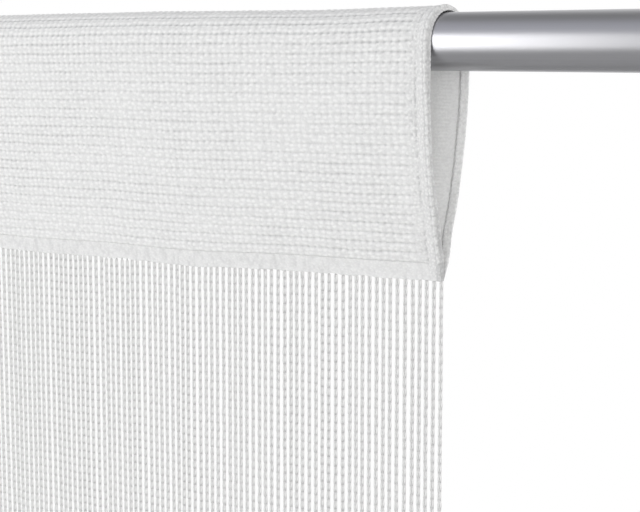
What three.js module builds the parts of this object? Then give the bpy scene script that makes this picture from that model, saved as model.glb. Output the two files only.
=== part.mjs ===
// A string curtain on its rod: a knitted head folded over the rod into a pocket, and a row of hanging strings.
// Millimetres, +Z up. The rod's axis is the X axis, its middle is the origin, and the curtain's front faces -Y.
import * as THREE from "three";

// Driving dimensions of the rod.
const ROD_RADIUS = 10;
const ROD_LENGTH = 1200;
const ROD_CHAMFER = 0.6;
const ROD_SIDES = 72;

// Driving dimensions of the whole curtain.
const CURTAIN_WIDTH = 900;
const CURTAIN_DROP = 2000;
const PART_GAP = 0.3;

// The head: one knitted band, folded over the rod, its two layers sewn together along the seam.
const CLOTH_THICKNESS = 1.2;
const SELVEDGE_THICKNESS = 2;
const SELVEDGE_WIDTH = 4;
const RIB_COUNT = 54;
const RIB_RELIEF = 0.4;
const SCALLOP = 0.35;
const SEAM_HALF_WIDTH = 0.9;
const SEAM_SHUT_HEIGHT = 2;
const EDGE_DRAWN_IN = 1.7;
const EDGE_DRAWN_REACH = 60;
const EDGE_DRAWN_CURVE = 1.5;

// How finely the head is drawn: steps of its lining side, crowded towards the rod, and of the fold's arc.
const LINING_STEPS = 36;
const LINING_CROWDING = 1.45;
const FOLD_STEPS = 16;
const SLOPE_STEP = 0.004;

// The band below the seam, which the strings grow from.
const BAND_HEIGHT = 6;
const BAND_THICKNESS = 2.6;
const BAND_LOWER_THICKNESS = 1.9;

// The strings.
const STRING_COUNT = 290;
const STRING_WIDTH = 1.7;
const STRING_DEPTH = 1.5;
const STRING_INSET = 2.6;
const EVEN_STRINGS = 4;

// How far the band's lower edge lies below the rod's axis, by the distance from the curtain's nearer end.
const LOWER_EDGE = [
  { fromEnd: 0, below: 83.0 },
  { fromEnd: 28, below: 83.7 },
  { fromEnd: 52, below: 84.4 },
  { fromEnd: 80, below: 85.6 },
  { fromEnd: 110, below: 87.1 },
  { fromEnd: 140, below: 88.4 },
  { fromEnd: 180, below: 89.4 },
  { fromEnd: 240, below: 90.0 },
  { fromEnd: 450, below: 90.2 },
];

// How far the fold's crest stands off the rod, by the distance from the curtain's nearer end.
const CREST_LIFT = [
  { fromEnd: 0, lift: 0.9 },
  { fromEnd: 28, lift: 0.4 },
  { fromEnd: 52, lift: 0.0 },
  { fromEnd: 80, lift: 0.25 },
  { fromEnd: 140, lift: 0.7 },
  { fromEnd: 240, lift: 0.4 },
  { fromEnd: 340, lift: 0.15 },
  { fromEnd: 450, lift: 0.5 },
];

// The pocket's pointed outline at the curtain's end, along the middle of the cloth, from the seam up.
const END_OUTLINE = [
  { below: 76.7, halfWidth: 1.1 },
  { below: 70, halfWidth: 3.0 },
  { below: 60, halfWidth: 5.4 },
  { below: 50, halfWidth: 7.6 },
  { below: 40, halfWidth: 9.3 },
  { below: 30, halfWidth: 10.5 },
  { below: 20, halfWidth: 11.5 },
  { below: 10, halfWidth: 12.1 },
  { below: 0, halfWidth: 12.3 },
];

// Distances from the end at which the head's section is drawn.
const SECTIONS_FROM_END = [0, 1.5, 4, 10, 28, 52, 80, 110, 140, 180, 240, 340];

// Soft unevenness, as waves along the curtain: height, wavelength and phase.
// The seam's rise and fall, and each layer's bulge between its seam and the fold.
const CLOTH_WAVES = [
  { height: 0.45, length: 236, phase: 0.6 },
  { height: 0.3, length: 97, phase: 2.1 },
];
const BULGE_WAVES = [
  { side: -1, height: 0.5, length: 181, phase: 2.2 },
  { side: 1, height: 0.5, length: 207, phase: 0.7 },
];
const BULGE_REACH = 0.77;

// The strings' hang to the front or back, their hang sideways, their spacing and their cut ends.
const HANGING_WAVES = [
  { height: 3.2, length: 410, phase: 0.4 },
  { height: 1.6, length: 150, phase: 1.9 },
];
const SIDEWAYS_WAVES = [
  { height: 1.6, length: 690, phase: 1.2 },
  { height: 0.9, length: 260, phase: 2.7 },
];
const SPACING_WAVES = [
  { height: 0.2, length: 31, phase: 0.9 },
  { height: 0.13, length: 10.3, phase: 0.2 },
];
const END_WAVES = [
  { height: 2.4, length: 67, phase: 0.3 },
  { height: 2.1, length: 17, phase: 1.4 },
];

// A string's rings below the band: how far down it each lies, as a share of its length, and how much of
// the hanging waves it takes.
const STRING_RINGS = [
  { down: 0, sway: 0 },
  { down: 0.4, sway: 0.6 },
  { down: 1, sway: 1 },
];

const HALF_WIDTH = CURTAIN_WIDTH / 2;
const CREST_RADIUS = ROD_RADIUS + PART_GAP + CLOTH_THICKNESS / 2;
const MIDDLE_BELOW = LOWER_EDGE[LOWER_EDGE.length - 1].below;
const END_BELOW = LOWER_EDGE[0].below;
const SEAM_ABOVE_EDGE = BAND_HEIGHT + PART_GAP;
const STRING_FOOT = -(CURTAIN_DROP - CREST_RADIUS - CLOTH_THICKNESS / 2);

const mix = (a, b, share) => a + (b - a) * share;
const waves = (rows, x) => rows.reduce(
  (sum, row) => sum + row.height * Math.sin((2 * Math.PI * x) / row.length + row.phase),
  0,
);

// The value of a table's column at a place along its first column, straight between rows.
function lookUp(rows, column, value, place) {
  const after = rows.findIndex((row) => row[column] >= place);
  if (after === 0) return rows[0][value];
  if (after < 0) return rows[rows.length - 1][value];
  const [low, high] = [rows[after - 1], rows[after]];
  return mix(low[value], high[value], (place - low[column]) / (high[column] - low[column]));
}

// How far a place along the rod lies inside the curtain's nearer end.
const fromEnd = (x) => Math.max(0, HALF_WIDTH - Math.abs(x));

// The height of the band's lower edge at a place along the rod.
const lowerEdge = (x) => -lookUp(LOWER_EDGE, "fromEnd", "below", fromEnd(x)) +
  waves(CLOTH_WAVES, x) * Math.min(1, fromEnd(x) / EDGE_DRAWN_REACH);

// A polyline's point at a share of its length.
function alongLine(points, share) {
  const steps = points.slice(1).map((point, i) => point.distanceTo(points[i]));
  let left = share * steps.reduce((sum, step) => sum + step, 0);
  let i = 0;
  while (i < steps.length - 1 && left > steps[i]) left -= steps[i++];
  return points[i].clone().lerp(points[i + 1], left / steps[i]);
}

// Quarter of an ellipse from its side up to its crest, in half-widths and heights.
function crestArc(halfWidth, height, from) {
  return Array.from({ length: FOLD_STEPS + 1 }, (_, i) => {
    const angle = mix(from, Math.PI / 2, i / FOLD_STEPS);
    return new THREE.Vector2(halfWidth * Math.cos(angle), height * Math.sin(angle));
  });
}

// Half of the pocket's section, from the seam to the crest, where the cloth is pulled straight by the strings.
function tautOutline(radius, seam) {
  const lean = Math.asin(radius / -seam);
  return [new THREE.Vector2(SEAM_HALF_WIDTH, seam), ...crestArc(radius, radius, -lean)];
}

// Half of the pocket's section at the curtain's open end.
function openOutline(radius) {
  const side = END_OUTLINE.map((row) => new THREE.Vector2(row.halfWidth, -row.below));
  return [...side, ...crestArc(side[side.length - 1].x, radius, 0).slice(1)];
}

// The places along the rod of the head's sections, from the left end to the right one.
const SECTION_PLACES = [
  ...SECTIONS_FROM_END.map((distance) => distance - HALF_WIDTH),
  0,
  ...[...SECTIONS_FROM_END].reverse().map((distance) => HALF_WIDTH - distance),
];

// One section of the head: a function from a share of the loop, front seam 0 to back seam 1, and a
// distance off the middle of the cloth, to a point.
function headSection(x) {
  const radius = CREST_RADIUS + lookUp(CREST_LIFT, "fromEnd", "lift", fromEnd(x));
  const open = (MIDDLE_BELOW - lookUp(LOWER_EDGE, "fromEnd", "below", fromEnd(x))) /
    (MIDDLE_BELOW - END_BELOW);
  const taut = tautOutline(radius, -(MIDDLE_BELOW - SEAM_ABOVE_EDGE));
  const loose = openOutline(radius);
  const seamShift = lowerEdge(x) + lookUp(LOWER_EDGE, "fromEnd", "below", fromEnd(x));
  const middle = (share) => {
    const up = 1 - Math.abs(2 * share - 1);
    const side = share < 0.5 ? -1 : 1;
    const at = alongLine(taut, up).lerp(alongLine(loose, up), open);
    const wave = waves(BULGE_WAVES.filter((row) => row.side === side), x);
    const bulge = Math.max(0, wave) * Math.sin(Math.PI * Math.min(1, up / BULGE_REACH)) * (1 - open);
    return new THREE.Vector2(side * (at.x + bulge), at.y + seamShift * (1 - up));
  };
  return (share, off) => {
    const at = middle(share);
    const before = middle(Math.max(0, share - SLOPE_STEP));
    const along = middle(Math.min(1, share + SLOPE_STEP)).sub(before).normalize();
    const down = Math.abs(2 * share - 1);
    const nearEnd = Math.max(0, 1 - fromEnd(x) / EDGE_DRAWN_REACH);
    const pulled = EDGE_DRAWN_IN * down ** EDGE_DRAWN_CURVE * nearEnd;
    return new THREE.Vector3(x - Math.sign(x) * pulled, at.x - along.y * off, at.y + along.x * off);
  };
}

// Cloth thickness at a place along the rod: the knitted selvedges are fuller.
const clothThickness = (x) => mix(
  SELVEDGE_THICKNESS,
  CLOTH_THICKNESS,
  Math.min(1, fromEnd(x) / SELVEDGE_WIDTH),
);

// A closed solid from rings of points: consecutive rings are joined, and the two ends are filled.
class Shell {
  constructor() {
    this.positions = [];
    this.faces = [];
  }

  addRing(points) {
    const first = this.positions.length / 3;
    points.forEach((point) => this.positions.push(point.x, point.y, point.z));
    return points.map((_, i) => first + i);
  }

  joinRings(ring, next) {
    ring.forEach((a, i) => {
      const j = (i + 1) % ring.length;
      this.addQuad(a, ring[j], next[j], next[i]);
    });
  }

  addQuad(a, b, c, d) {
    this.faces.push(a, b, c, a, c, d);
  }

  geometry() {
    const made = new THREE.BufferGeometry();
    made.setAttribute("position", new THREE.Float32BufferAttribute(this.positions, 3));
    made.setIndex(this.faces);
    made.computeVertexNormals();
    return made;
  }
}

// Outer and lining points of the head's section at one place.
function headRings(x) {
  const section = headSection(x);
  const half = clothThickness(x) / 2;
  const atEnd = fromEnd(x) === 0;
  const outer = Array.from({ length: 2 * RIB_COUNT + 1 }, (_, i) => {
    const ridge = i % 2 === 1;
    const point = section(i / (2 * RIB_COUNT), half + (ridge ? RIB_RELIEF : -RIB_RELIEF) / 2);
    if (atEnd && ridge) point.x += Math.sign(x) * SCALLOP;
    return point;
  });
  const layerLength = (CREST_RADIUS * Math.PI) / 2 + MIDDLE_BELOW - SEAM_ABOVE_EDGE;
  const shut = SEAM_SHUT_HEIGHT / (2 * layerLength);
  const lining = Array.from({ length: LINING_STEPS + 1 }, (_, i) => {
    const even = (2 * i) / LINING_STEPS - 1;
    const gathered = Math.sign(even) * Math.abs(even) ** LINING_CROWDING;
    return section(mix(shut, 1 - shut, (gathered + 1) / 2), -half);
  });
  return { outer, lining };
}

// The head: the ribbed outside, the lining side towards the rod, and the two open ends.
function headGeometry() {
  const shell = new Shell();
  const sections = SECTION_PLACES.map((x) => headRings(x));
  const rings = sections.map(({ outer, lining }) => ({
    outer: shell.addRing(outer),
    lining: shell.addRing(lining),
  }));
  rings.slice(1).forEach((ring, i) => {
    shell.joinRings(ring.outer, rings[i].outer);
    shell.joinRings(rings[i].lining, ring.lining);
  });
  const flat = (points) => points.map((point) => new THREE.Vector2(point.y, point.z));
  [0, rings.length - 1].forEach((end) => {
    const { outer, lining } = sections[end];
    const numbers = [...rings[end].outer, ...rings[end].lining];
    const triangles = THREE.ShapeUtils.triangulateShape(flat(outer), [flat(lining)]);
    triangles.forEach(([a, b, c]) => {
      const corners = [a, b, c].map((i) => [...flat(outer), ...flat(lining)][i]);
      const turn = corners[1].clone().sub(corners[0]).cross(corners[2].clone().sub(corners[0]));
      const facesOut = end === 0 ? turn < 0 : turn > 0;
      shell.faces.push(...(facesOut ? [a, b, c] : [a, c, b]).map((i) => numbers[i]));
    });
  });
  return shell.geometry();
}

// The height of the head's lower face, straight between the head's sections as the solid is.
function seamLine(x) {
  const after = Math.max(1, SECTION_PLACES.findIndex((place) => place >= x));
  const [low, high] = [SECTION_PLACES[after - 1], SECTION_PLACES[after]];
  return mix(lowerEdge(low), lowerEdge(high), (x - low) / (high - low)) + SEAM_ABOVE_EDGE;
}

// A string's centre at a share of its way down from the band.
function stringCentre(index, ring) {
  const even = mix(STRING_INSET - HALF_WIDTH, HALF_WIDTH - STRING_INSET, index / (STRING_COUNT - 1));
  const inner = Math.min(1, Math.min(index, STRING_COUNT - 1 - index) / EVEN_STRINGS);
  const root = even + inner * waves(SPACING_WAVES, even);
  const top = seamLine(root) - PART_GAP - BAND_HEIGHT;
  const foot = STRING_FOOT + waves(END_WAVES, even);
  return new THREE.Vector3(
    root + ring.sway * waves(SIDEWAYS_WAVES, even),
    ring.sway * waves(HANGING_WAVES, even),
    mix(top, foot, ring.down),
  );
}

// The strings with the band that holds their roots, drawn in one piece from the left end to the right.
function fringeGeometry() {
  const shell = new Shell();
  const roots = Array.from({ length: STRING_COUNT }, (_, i) => stringCentre(i, STRING_RINGS[0]));
  const bandEnd = HALF_WIDTH - EDGE_DRAWN_IN;
  const borders = [-bandEnd, ...roots.slice(1).map((root, i) => (root.x + roots[i].x) / 2), bandEnd];
  const bandRings = borders.map((x) => {
    const top = seamLine(x) - PART_GAP;
    return shell.addRing([
      new THREE.Vector3(x, -BAND_THICKNESS / 2, top),
      new THREE.Vector3(x, BAND_THICKNESS / 2, top),
      new THREE.Vector3(x, BAND_LOWER_THICKNESS / 2, top - BAND_HEIGHT),
      new THREE.Vector3(x, -BAND_LOWER_THICKNESS / 2, top - BAND_HEIGHT),
    ]);
  });
  const diamond = (centre) => [
    new THREE.Vector3(centre.x - STRING_WIDTH / 2, centre.y, centre.z),
    new THREE.Vector3(centre.x, centre.y - STRING_DEPTH / 2, centre.z),
    new THREE.Vector3(centre.x + STRING_WIDTH / 2, centre.y, centre.z),
    new THREE.Vector3(centre.x, centre.y + STRING_DEPTH / 2, centre.z),
  ];
  roots.forEach((_, i) => {
    const [left, right] = [bandRings[i], bandRings[i + 1]];
    [0, 1, 3].forEach((side) => shell.addQuad(
      left[side],
      right[side],
      right[(side + 1) % 4],
      left[(side + 1) % 4],
    ));
    const rings = STRING_RINGS.map((ring) => shell.addRing(diamond(stringCentre(i, ring))));
    const corners = [left[3], right[3], right[2], left[2]];
    corners.forEach((corner, k) => {
      const next = (k + 1) % 4;
      shell.faces.push(corner, rings[0][next], corners[next]);
      shell.faces.push(corner, rings[0][k], rings[0][next]);
    });
    rings.slice(1).forEach((ring, k) => shell.joinRings(ring, rings[k]));
    shell.addQuad(...[...rings[rings.length - 1]].reverse());
  });
  shell.addQuad(...bandRings[0]);
  shell.addQuad(...[...bandRings[bandRings.length - 1]].reverse());
  return shell.geometry();
}

// The rod: a plain round bar with lightly broken edges.
function rodGeometry() {
  const half = ROD_LENGTH / 2;
  const profile = [
    new THREE.Vector2(0, -half),
    new THREE.Vector2(ROD_RADIUS - ROD_CHAMFER, -half),
    new THREE.Vector2(ROD_RADIUS, ROD_CHAMFER - half),
    new THREE.Vector2(ROD_RADIUS, half - ROD_CHAMFER),
    new THREE.Vector2(ROD_RADIUS - ROD_CHAMFER, half),
    new THREE.Vector2(0, half),
  ];
  return new THREE.LatheGeometry(profile, ROD_SIDES).rotateZ(-Math.PI / 2);
}

const knit = new THREE.MeshStandardMaterial({ color: 0xe6e6e6, roughness: 0.92, metalness: 0 });
const chain = new THREE.MeshStandardMaterial({ color: 0xdfdfdf, roughness: 0.9, metalness: 0 });
const satinMetal = new THREE.MeshStandardMaterial({ color: 0xb4b5ba, roughness: 0.32, metalness: 1 });

function piece(name, geometry, material) {
  const mesh = new THREE.Mesh(geometry, material);
  mesh.name = name;
  return mesh;
}

const stringCurtain = new THREE.Group();
stringCurtain.add(
  piece("rod", rodGeometry(), satinMetal),
  piece("heading", headGeometry(), knit),
  piece("string_fringe", fringeGeometry(), chain),
);

export default stringCurtain;
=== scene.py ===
"""A string curtain hanging on its rod.

The head is a white ribbed warp knit, folded over a satin metal rod and sewn to itself above a plain band.
Below the band the wales of the knit run on as knitted chains, which are the strings.
The classes hold their sizes in millimetres, and the meshes are made in metres.
"""

import logging
import math
from dataclasses import dataclass, field
from enum import Enum
from typing import Any, Sequence

import bpy
import numpy as np
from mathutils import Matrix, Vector


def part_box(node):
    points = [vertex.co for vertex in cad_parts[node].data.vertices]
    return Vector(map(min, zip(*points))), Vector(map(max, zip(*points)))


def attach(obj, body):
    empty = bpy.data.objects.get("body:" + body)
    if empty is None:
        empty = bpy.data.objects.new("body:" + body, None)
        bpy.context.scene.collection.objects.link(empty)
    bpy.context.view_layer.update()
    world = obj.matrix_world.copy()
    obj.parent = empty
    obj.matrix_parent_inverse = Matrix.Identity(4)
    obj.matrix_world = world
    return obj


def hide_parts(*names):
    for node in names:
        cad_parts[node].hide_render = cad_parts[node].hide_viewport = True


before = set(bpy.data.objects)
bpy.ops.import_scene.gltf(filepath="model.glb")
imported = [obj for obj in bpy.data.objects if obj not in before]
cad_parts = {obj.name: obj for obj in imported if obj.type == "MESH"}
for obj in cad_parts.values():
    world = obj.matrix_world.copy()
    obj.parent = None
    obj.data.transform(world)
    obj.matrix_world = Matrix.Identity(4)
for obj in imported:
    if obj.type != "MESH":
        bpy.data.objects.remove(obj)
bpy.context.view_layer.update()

LOG = logging.getLogger("string_curtain")
METRES = 0.001
BODY = "root"

Array = np.ndarray
Material = bpy.types.Material
Node = bpy.types.Node
Piece = bpy.types.Object
Socket = bpy.types.NodeSocket
Tree = bpy.types.NodeTree
Faces = list[tuple[int, ...]]
Pair = tuple[float, float]
Triple = tuple[float, float, float]
Table = tuple[tuple[float, ...], ...]

# Sizes of the curtain and its knit that several parts share, in millimetres.
HALF_WIDTH = 450.0
FIRST_WALE = -447.4
WALE_PITCH = 3.0962
STITCH_ROW = 1.847
HEM_FROM_MIDDLE = 440.8
LINK_PITCH = 3.3

# Polyester yarn is matt, with a faint sheen from its many fine fibres.
YARN_GLOSS = {"Roughness": 0.9, "Specular IOR Level": 0.25, "Sheen Weight": 0.15}


class Slot(Enum):
    """The record's material slots."""

    ROD = "rod_metal"
    HEAD = "knit_heading"
    STRINGS = "knit_strings"


class Side(Enum):
    """The curtain's two ends, as the sign of their place along the rod."""

    LEFT = -1
    RIGHT = 1


def smooth_step(low: float, high: float, value: Array) -> Array:
    """A soft step from 0 at low to 1 at high.

    Args:
        low: The value at which the step begins.
        high: The value at which it ends.
        value: The values to look at.

    Returns:
        The step's height at each value.
    """
    share = np.clip((value - low) / (high - low), 0.0, 1.0)
    return share * share * (3.0 - 2.0 * share)


def hump(value: Array, reach: float) -> Array:
    """A bell shape, 1 where the value is 0 and near 0 at twice the reach."""
    return np.exp(-((value / reach) ** 2))


def soft_table(rows: Table, place: Array, reach: float) -> Array:
    """The second column of a table at places along its first, with the corners between rows rounded.

    Args:
        rows: The table, with its first column rising.
        place: The places to read it at.
        reach: How far to each side of a place the rows are averaged.

    Returns:
        The value at each place.
    """
    known, values = np.array(rows).T
    shifts = np.linspace(-reach, reach, 9)
    return np.mean([np.interp(place + shift, known, values) for shift in shifts], axis=0)


@dataclass(frozen=True)
class Wave:
    """One wave of soft unevenness along the curtain."""

    height: float
    length: float
    phase: float

    def at(self, place: Array) -> Array:
        """The wave's height at places along the rod."""
        return self.height * np.sin(2.0 * math.pi * place / self.length + self.phase)


@dataclass(frozen=True)
class SoftNoise:
    """Gentle unevenness over a surface, from a fixed table of random heights between -1 and 1."""

    seed: int
    cell: Pair
    size: int = 61

    def at(self, across: Array, along: Array) -> Array:
        """The unevenness at places on the surface.

        Args:
            across: The first coordinate of each place.
            along: The second coordinate of each place.

        Returns:
            A height between -1 and 1 for each place.
        """
        heights = np.random.default_rng(self.seed).uniform(-1.0, 1.0, (self.size, self.size))
        places = (np.asarray(across) / self.cell[0], np.asarray(along) / self.cell[1])
        corners = [np.floor(place).astype(int) for place in places]
        shares = [smooth_step(0.0, 1.0, place - corner) for place, corner in zip(places, corners)]
        total = np.zeros(np.broadcast(*places).shape)
        for step_across in (0, 1):
            for step_along in (0, 1):
                weight = shares[0] if step_across else 1.0 - shares[0]
                weight = weight * (shares[1] if step_along else 1.0 - shares[1])
                row = (corners[0] + step_across) % self.size
                column = (corners[1] + step_along) % self.size
                total = total + weight * heights[row, column]
        return total


@dataclass
class Surface:
    """A mesh being put together: its points in millimetres, its faces and what each point carries."""

    points: Array
    faces: Faces
    # How much painted shade each point has, from 0 to 1, which the materials mix towards their grey.
    hollow: Array | None = None
    cloth_place: Array | None = None
    face_finish: list[int] | None = None

    def to_object(self, name: str, finishes: Sequence[Material], sharp: float = 75.0) -> Piece:
        """Makes the Blender object.

        Args:
            name: The piece's name.
            finishes: Its materials, in the order that face_finish counts them.
            sharp: Edges bent by more than this angle in degrees stay crisp.

        Returns:
            The new object, linked to the scene.
        """
        mesh = bpy.data.meshes.new(name)
        mesh.from_pydata((self.points * METRES).tolist(), [], self.faces)
        for finish in finishes:
            mesh.materials.append(finish)
        if self.face_finish is not None:
            mesh.polygons.foreach_set("material_index", self.face_finish)
        if self.hollow is not None:
            attribute = mesh.attributes.new("hollow", "FLOAT", "POINT")
            attribute.data.foreach_set("value", self.hollow.astype(np.float32).ravel())
        if self.cloth_place is not None:
            corner_points = np.zeros(len(mesh.loops), dtype=np.int64)
            mesh.loops.foreach_get("vertex_index", corner_points)
            layer = mesh.uv_layers.new(name="cloth_place")
            places = (self.cloth_place * METRES)[corner_points]
            layer.data.foreach_set("uv", places.astype(np.float32).ravel())
        mesh.shade_smooth()
        mesh.set_sharp_from_angle(angle=math.radians(sharp))
        made = bpy.data.objects.new(name, mesh)
        bpy.context.scene.collection.objects.link(made)
        return made


def grid_faces(columns: int, rows: int, first: int = 0, flipped: bool = False) -> Faces:
    """Four-sided faces of a grid of points that are numbered column by column.

    Args:
        columns: How many columns of points the grid has.
        rows: How many points each column has.
        first: The number of the grid's first point.
        flipped: Whether the faces look the other way.

    Returns:
        The faces, each turning from the columns' direction to the rows' one.
    """
    i, j = np.meshgrid(np.arange(columns - 1), np.arange(rows - 1), indexing="ij")
    corner = (first + i * rows + j).ravel()
    faces = np.stack([corner, corner + rows, corner + rows + 1, corner + 1], axis=1)
    return [tuple(face) for face in (faces[:, ::-1] if flipped else faces).tolist()]


def border(columns: int, rows: int, first: int = 0) -> list[int]:
    """Finds a grid's border points, once round from its first point.

    Args:
        columns: How many columns of points the grid has.
        rows: How many points each column has.
        first: The number of the grid's first point.

    Returns:
        The points' numbers, first along the columns.
    """
    bottom = [first + i * rows for i in range(columns)]
    end = [bottom[-1] + j for j in range(1, rows)]
    top = [first + i * rows + rows - 1 for i in range(columns - 2, -1, -1)]
    start = [first + j for j in range(rows - 2, 0, -1)]
    return bottom + end + top + start


def rim_faces(fine: Sequence[int], coarse: Sequence[int], ratios: Sequence[int]) -> Faces:
    """Triangles that close the rim between a fine border and a coarser one under it.

    Args:
        fine: The fine border's points.
        coarse: The coarse border's points.
        ratios: How many fine steps each coarse step spans.

    Returns:
        The triangles, facing away from the cloth.
    """
    faces = []
    at = 0
    for k, ratio in enumerate(ratios):
        near, far = coarse[k], coarse[(k + 1) % len(coarse)]
        half = ratio // 2
        for step in range(ratio):
            a, b = fine[(at + step) % len(fine)], fine[(at + step + 1) % len(fine)]
            faces.append((b, a, near if step < half else far))
        faces.append((fine[(at + half) % len(fine)], near, far))
        at += ratio
    return faces


def ring_faces(rings: int, sides: int, first: int = 0) -> Faces:
    """Faces of a closed tube whose points are numbered ring by ring.

    Args:
        rings: How many rings there are.
        sides: How many points each ring has.
        first: The number of the first point.

    Returns:
        The faces, with the ends as many-sided faces.
    """
    ring, side = np.meshgrid(np.arange(rings - 1), np.arange(sides), indexing="ij")
    here = (first + ring * sides + side).ravel()
    beside = (first + ring * sides + (side + 1) % sides).ravel()
    quads = np.stack([here, beside, beside + sides, here + sides], axis=1).tolist()
    last = first + (rings - 1) * sides
    ends = [tuple(range(first + sides - 1, first - 1, -1)), tuple(range(last, last + sides))]
    return [tuple(quad) for quad in quads] + ends


def add_node(tree: Tree, kind: str, inputs: dict[Any, Any] | None = None, **settings: Any) -> Node:
    """Adds a node to a tree.

    Args:
        tree: The tree that gets the node.
        kind: The node's type.
        inputs: For its inputs, by name or number, a value or the socket that feeds it.
        settings: The node's own properties.

    Returns:
        The new node.
    """
    node = tree.nodes.new(kind)
    for name, value in settings.items():
        setattr(node, name, value)
    for key, value in (inputs or {}).items():
        if isinstance(value, Socket):
            tree.links.new(value, node.inputs[key])
        else:
            node.inputs[key].default_value = value
    return node


def srgb(code: str) -> tuple[float, float, float, float]:
    """Turns a colour to linear.

    Args:
        code: The sRGB hex code, such as "#E6E6E6".

    Returns:
        Its red, green, blue and full opacity, in linear light.
    """
    parts = [int(code[i:i + 2], 16) / 255.0 for i in (1, 3, 5)]
    linear = [p / 12.92 if p <= 0.04045 else ((p + 0.055) / 1.055) ** 2.4 for p in parts]
    return (*linear, 1.0)


def empty_material(name: str) -> tuple[Material, Tree]:
    """Makes a new material with an empty tree.

    Args:
        name: The material's name.

    Returns:
        The material and its tree.
    """
    material = bpy.data.materials.new(name)
    material.use_nodes = True
    material.node_tree.nodes.clear()
    return material, material.node_tree


@dataclass(frozen=True)
class SatinMetalFinish:
    """Drawn steel tube, satin nickel plated: a soft broad gloss, with faint streaks along the draw."""

    name: str = "satin_nickel_on_drawn_tube"
    colour: str = "#B9B9BC"
    streak_colour: str = "#AEAEB1"
    roughness: float = 0.35
    roughness_spread: Pair = (-0.04, 0.05)
    metal_share: float = 0.9
    # Real draw lines are finer. They are drawn as coarse as it takes to show.
    streak_width: float = 0.5
    streak_length: float = 160.0
    streak_depth: float = 0.02

    def material(self) -> Material:
        """Makes the material.

        Returns:
            The material.
        """
        material, tree = empty_material(self.name)
        place = add_node(tree, "ShaderNodeTexCoord").outputs["Object"]
        across, along = 1.0 / (self.streak_width * METRES), 1.0 / (self.streak_length * METRES)
        stretched = add_node(
            tree, "ShaderNodeMapping", {"Vector": place, "Scale": (along, across, across)}
        ).outputs["Vector"]
        streaks = add_node(
            tree, "ShaderNodeTexNoise", {"Vector": stretched, "Scale": 1.0, "Detail": 3.0, "Roughness": 0.6}
        ).outputs["Fac"]
        tone = add_node(
            tree, "ShaderNodeMix",
            {"Factor": streaks, "A": srgb(self.colour), "B": srgb(self.streak_colour)},
            data_type="RGBA",
        ).outputs["Result"]
        least, most = (self.roughness + spread for spread in self.roughness_spread)
        gloss = add_node(
            tree, "ShaderNodeMapRange", {"Value": streaks, "To Min": least, "To Max": most}
        ).outputs["Result"]
        relief = add_node(
            tree, "ShaderNodeBump",
            {"Height": streaks, "Strength": 0.05, "Distance": self.streak_depth * METRES},
        ).outputs["Normal"]
        shader = add_node(
            tree, "ShaderNodeBsdfPrincipled",
            {"Base Color": tone, "Metallic": self.metal_share, "Roughness": gloss, "Normal": relief},
        ).outputs["BSDF"]
        add_node(tree, "ShaderNodeOutputMaterial", {"Surface": shader})
        return material


@dataclass(frozen=True)
class StitchPattern:
    """Rows of single stitches, each a small soft swelling, more or less out of line."""

    width: float
    height: float
    scatter: float = 1.0
    first: float = 0.0
    smoothness: float = 0.3

    def distance(self, tree: Tree, place: Socket) -> Socket:
        """Adds the pattern: how far each place lies from the middle of its stitch, in stitches.

        Args:
            tree: The material's tree.
            place: The place on the cloth, in metres.

        Returns:
            The socket that gives the distance.
        """
        half = self.scatter / 2.0
        counted = add_node(
            tree, "ShaderNodeMapping",
            {
                "Vector": place,
                "Scale": (1.0 / (self.width * METRES), 1.0 / (self.height * METRES), 1.0),
                "Location": (half - self.first / self.width, half - 0.5, 0.0),
            },
        ).outputs["Vector"]
        return add_node(
            tree, "ShaderNodeTexVoronoi",
            {"Vector": counted, "Scale": 1.0, "Smoothness": self.smoothness, "Randomness": self.scatter},
            voronoi_dimensions="2D",
            feature="SMOOTH_F1",
        ).outputs["Distance"]


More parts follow.
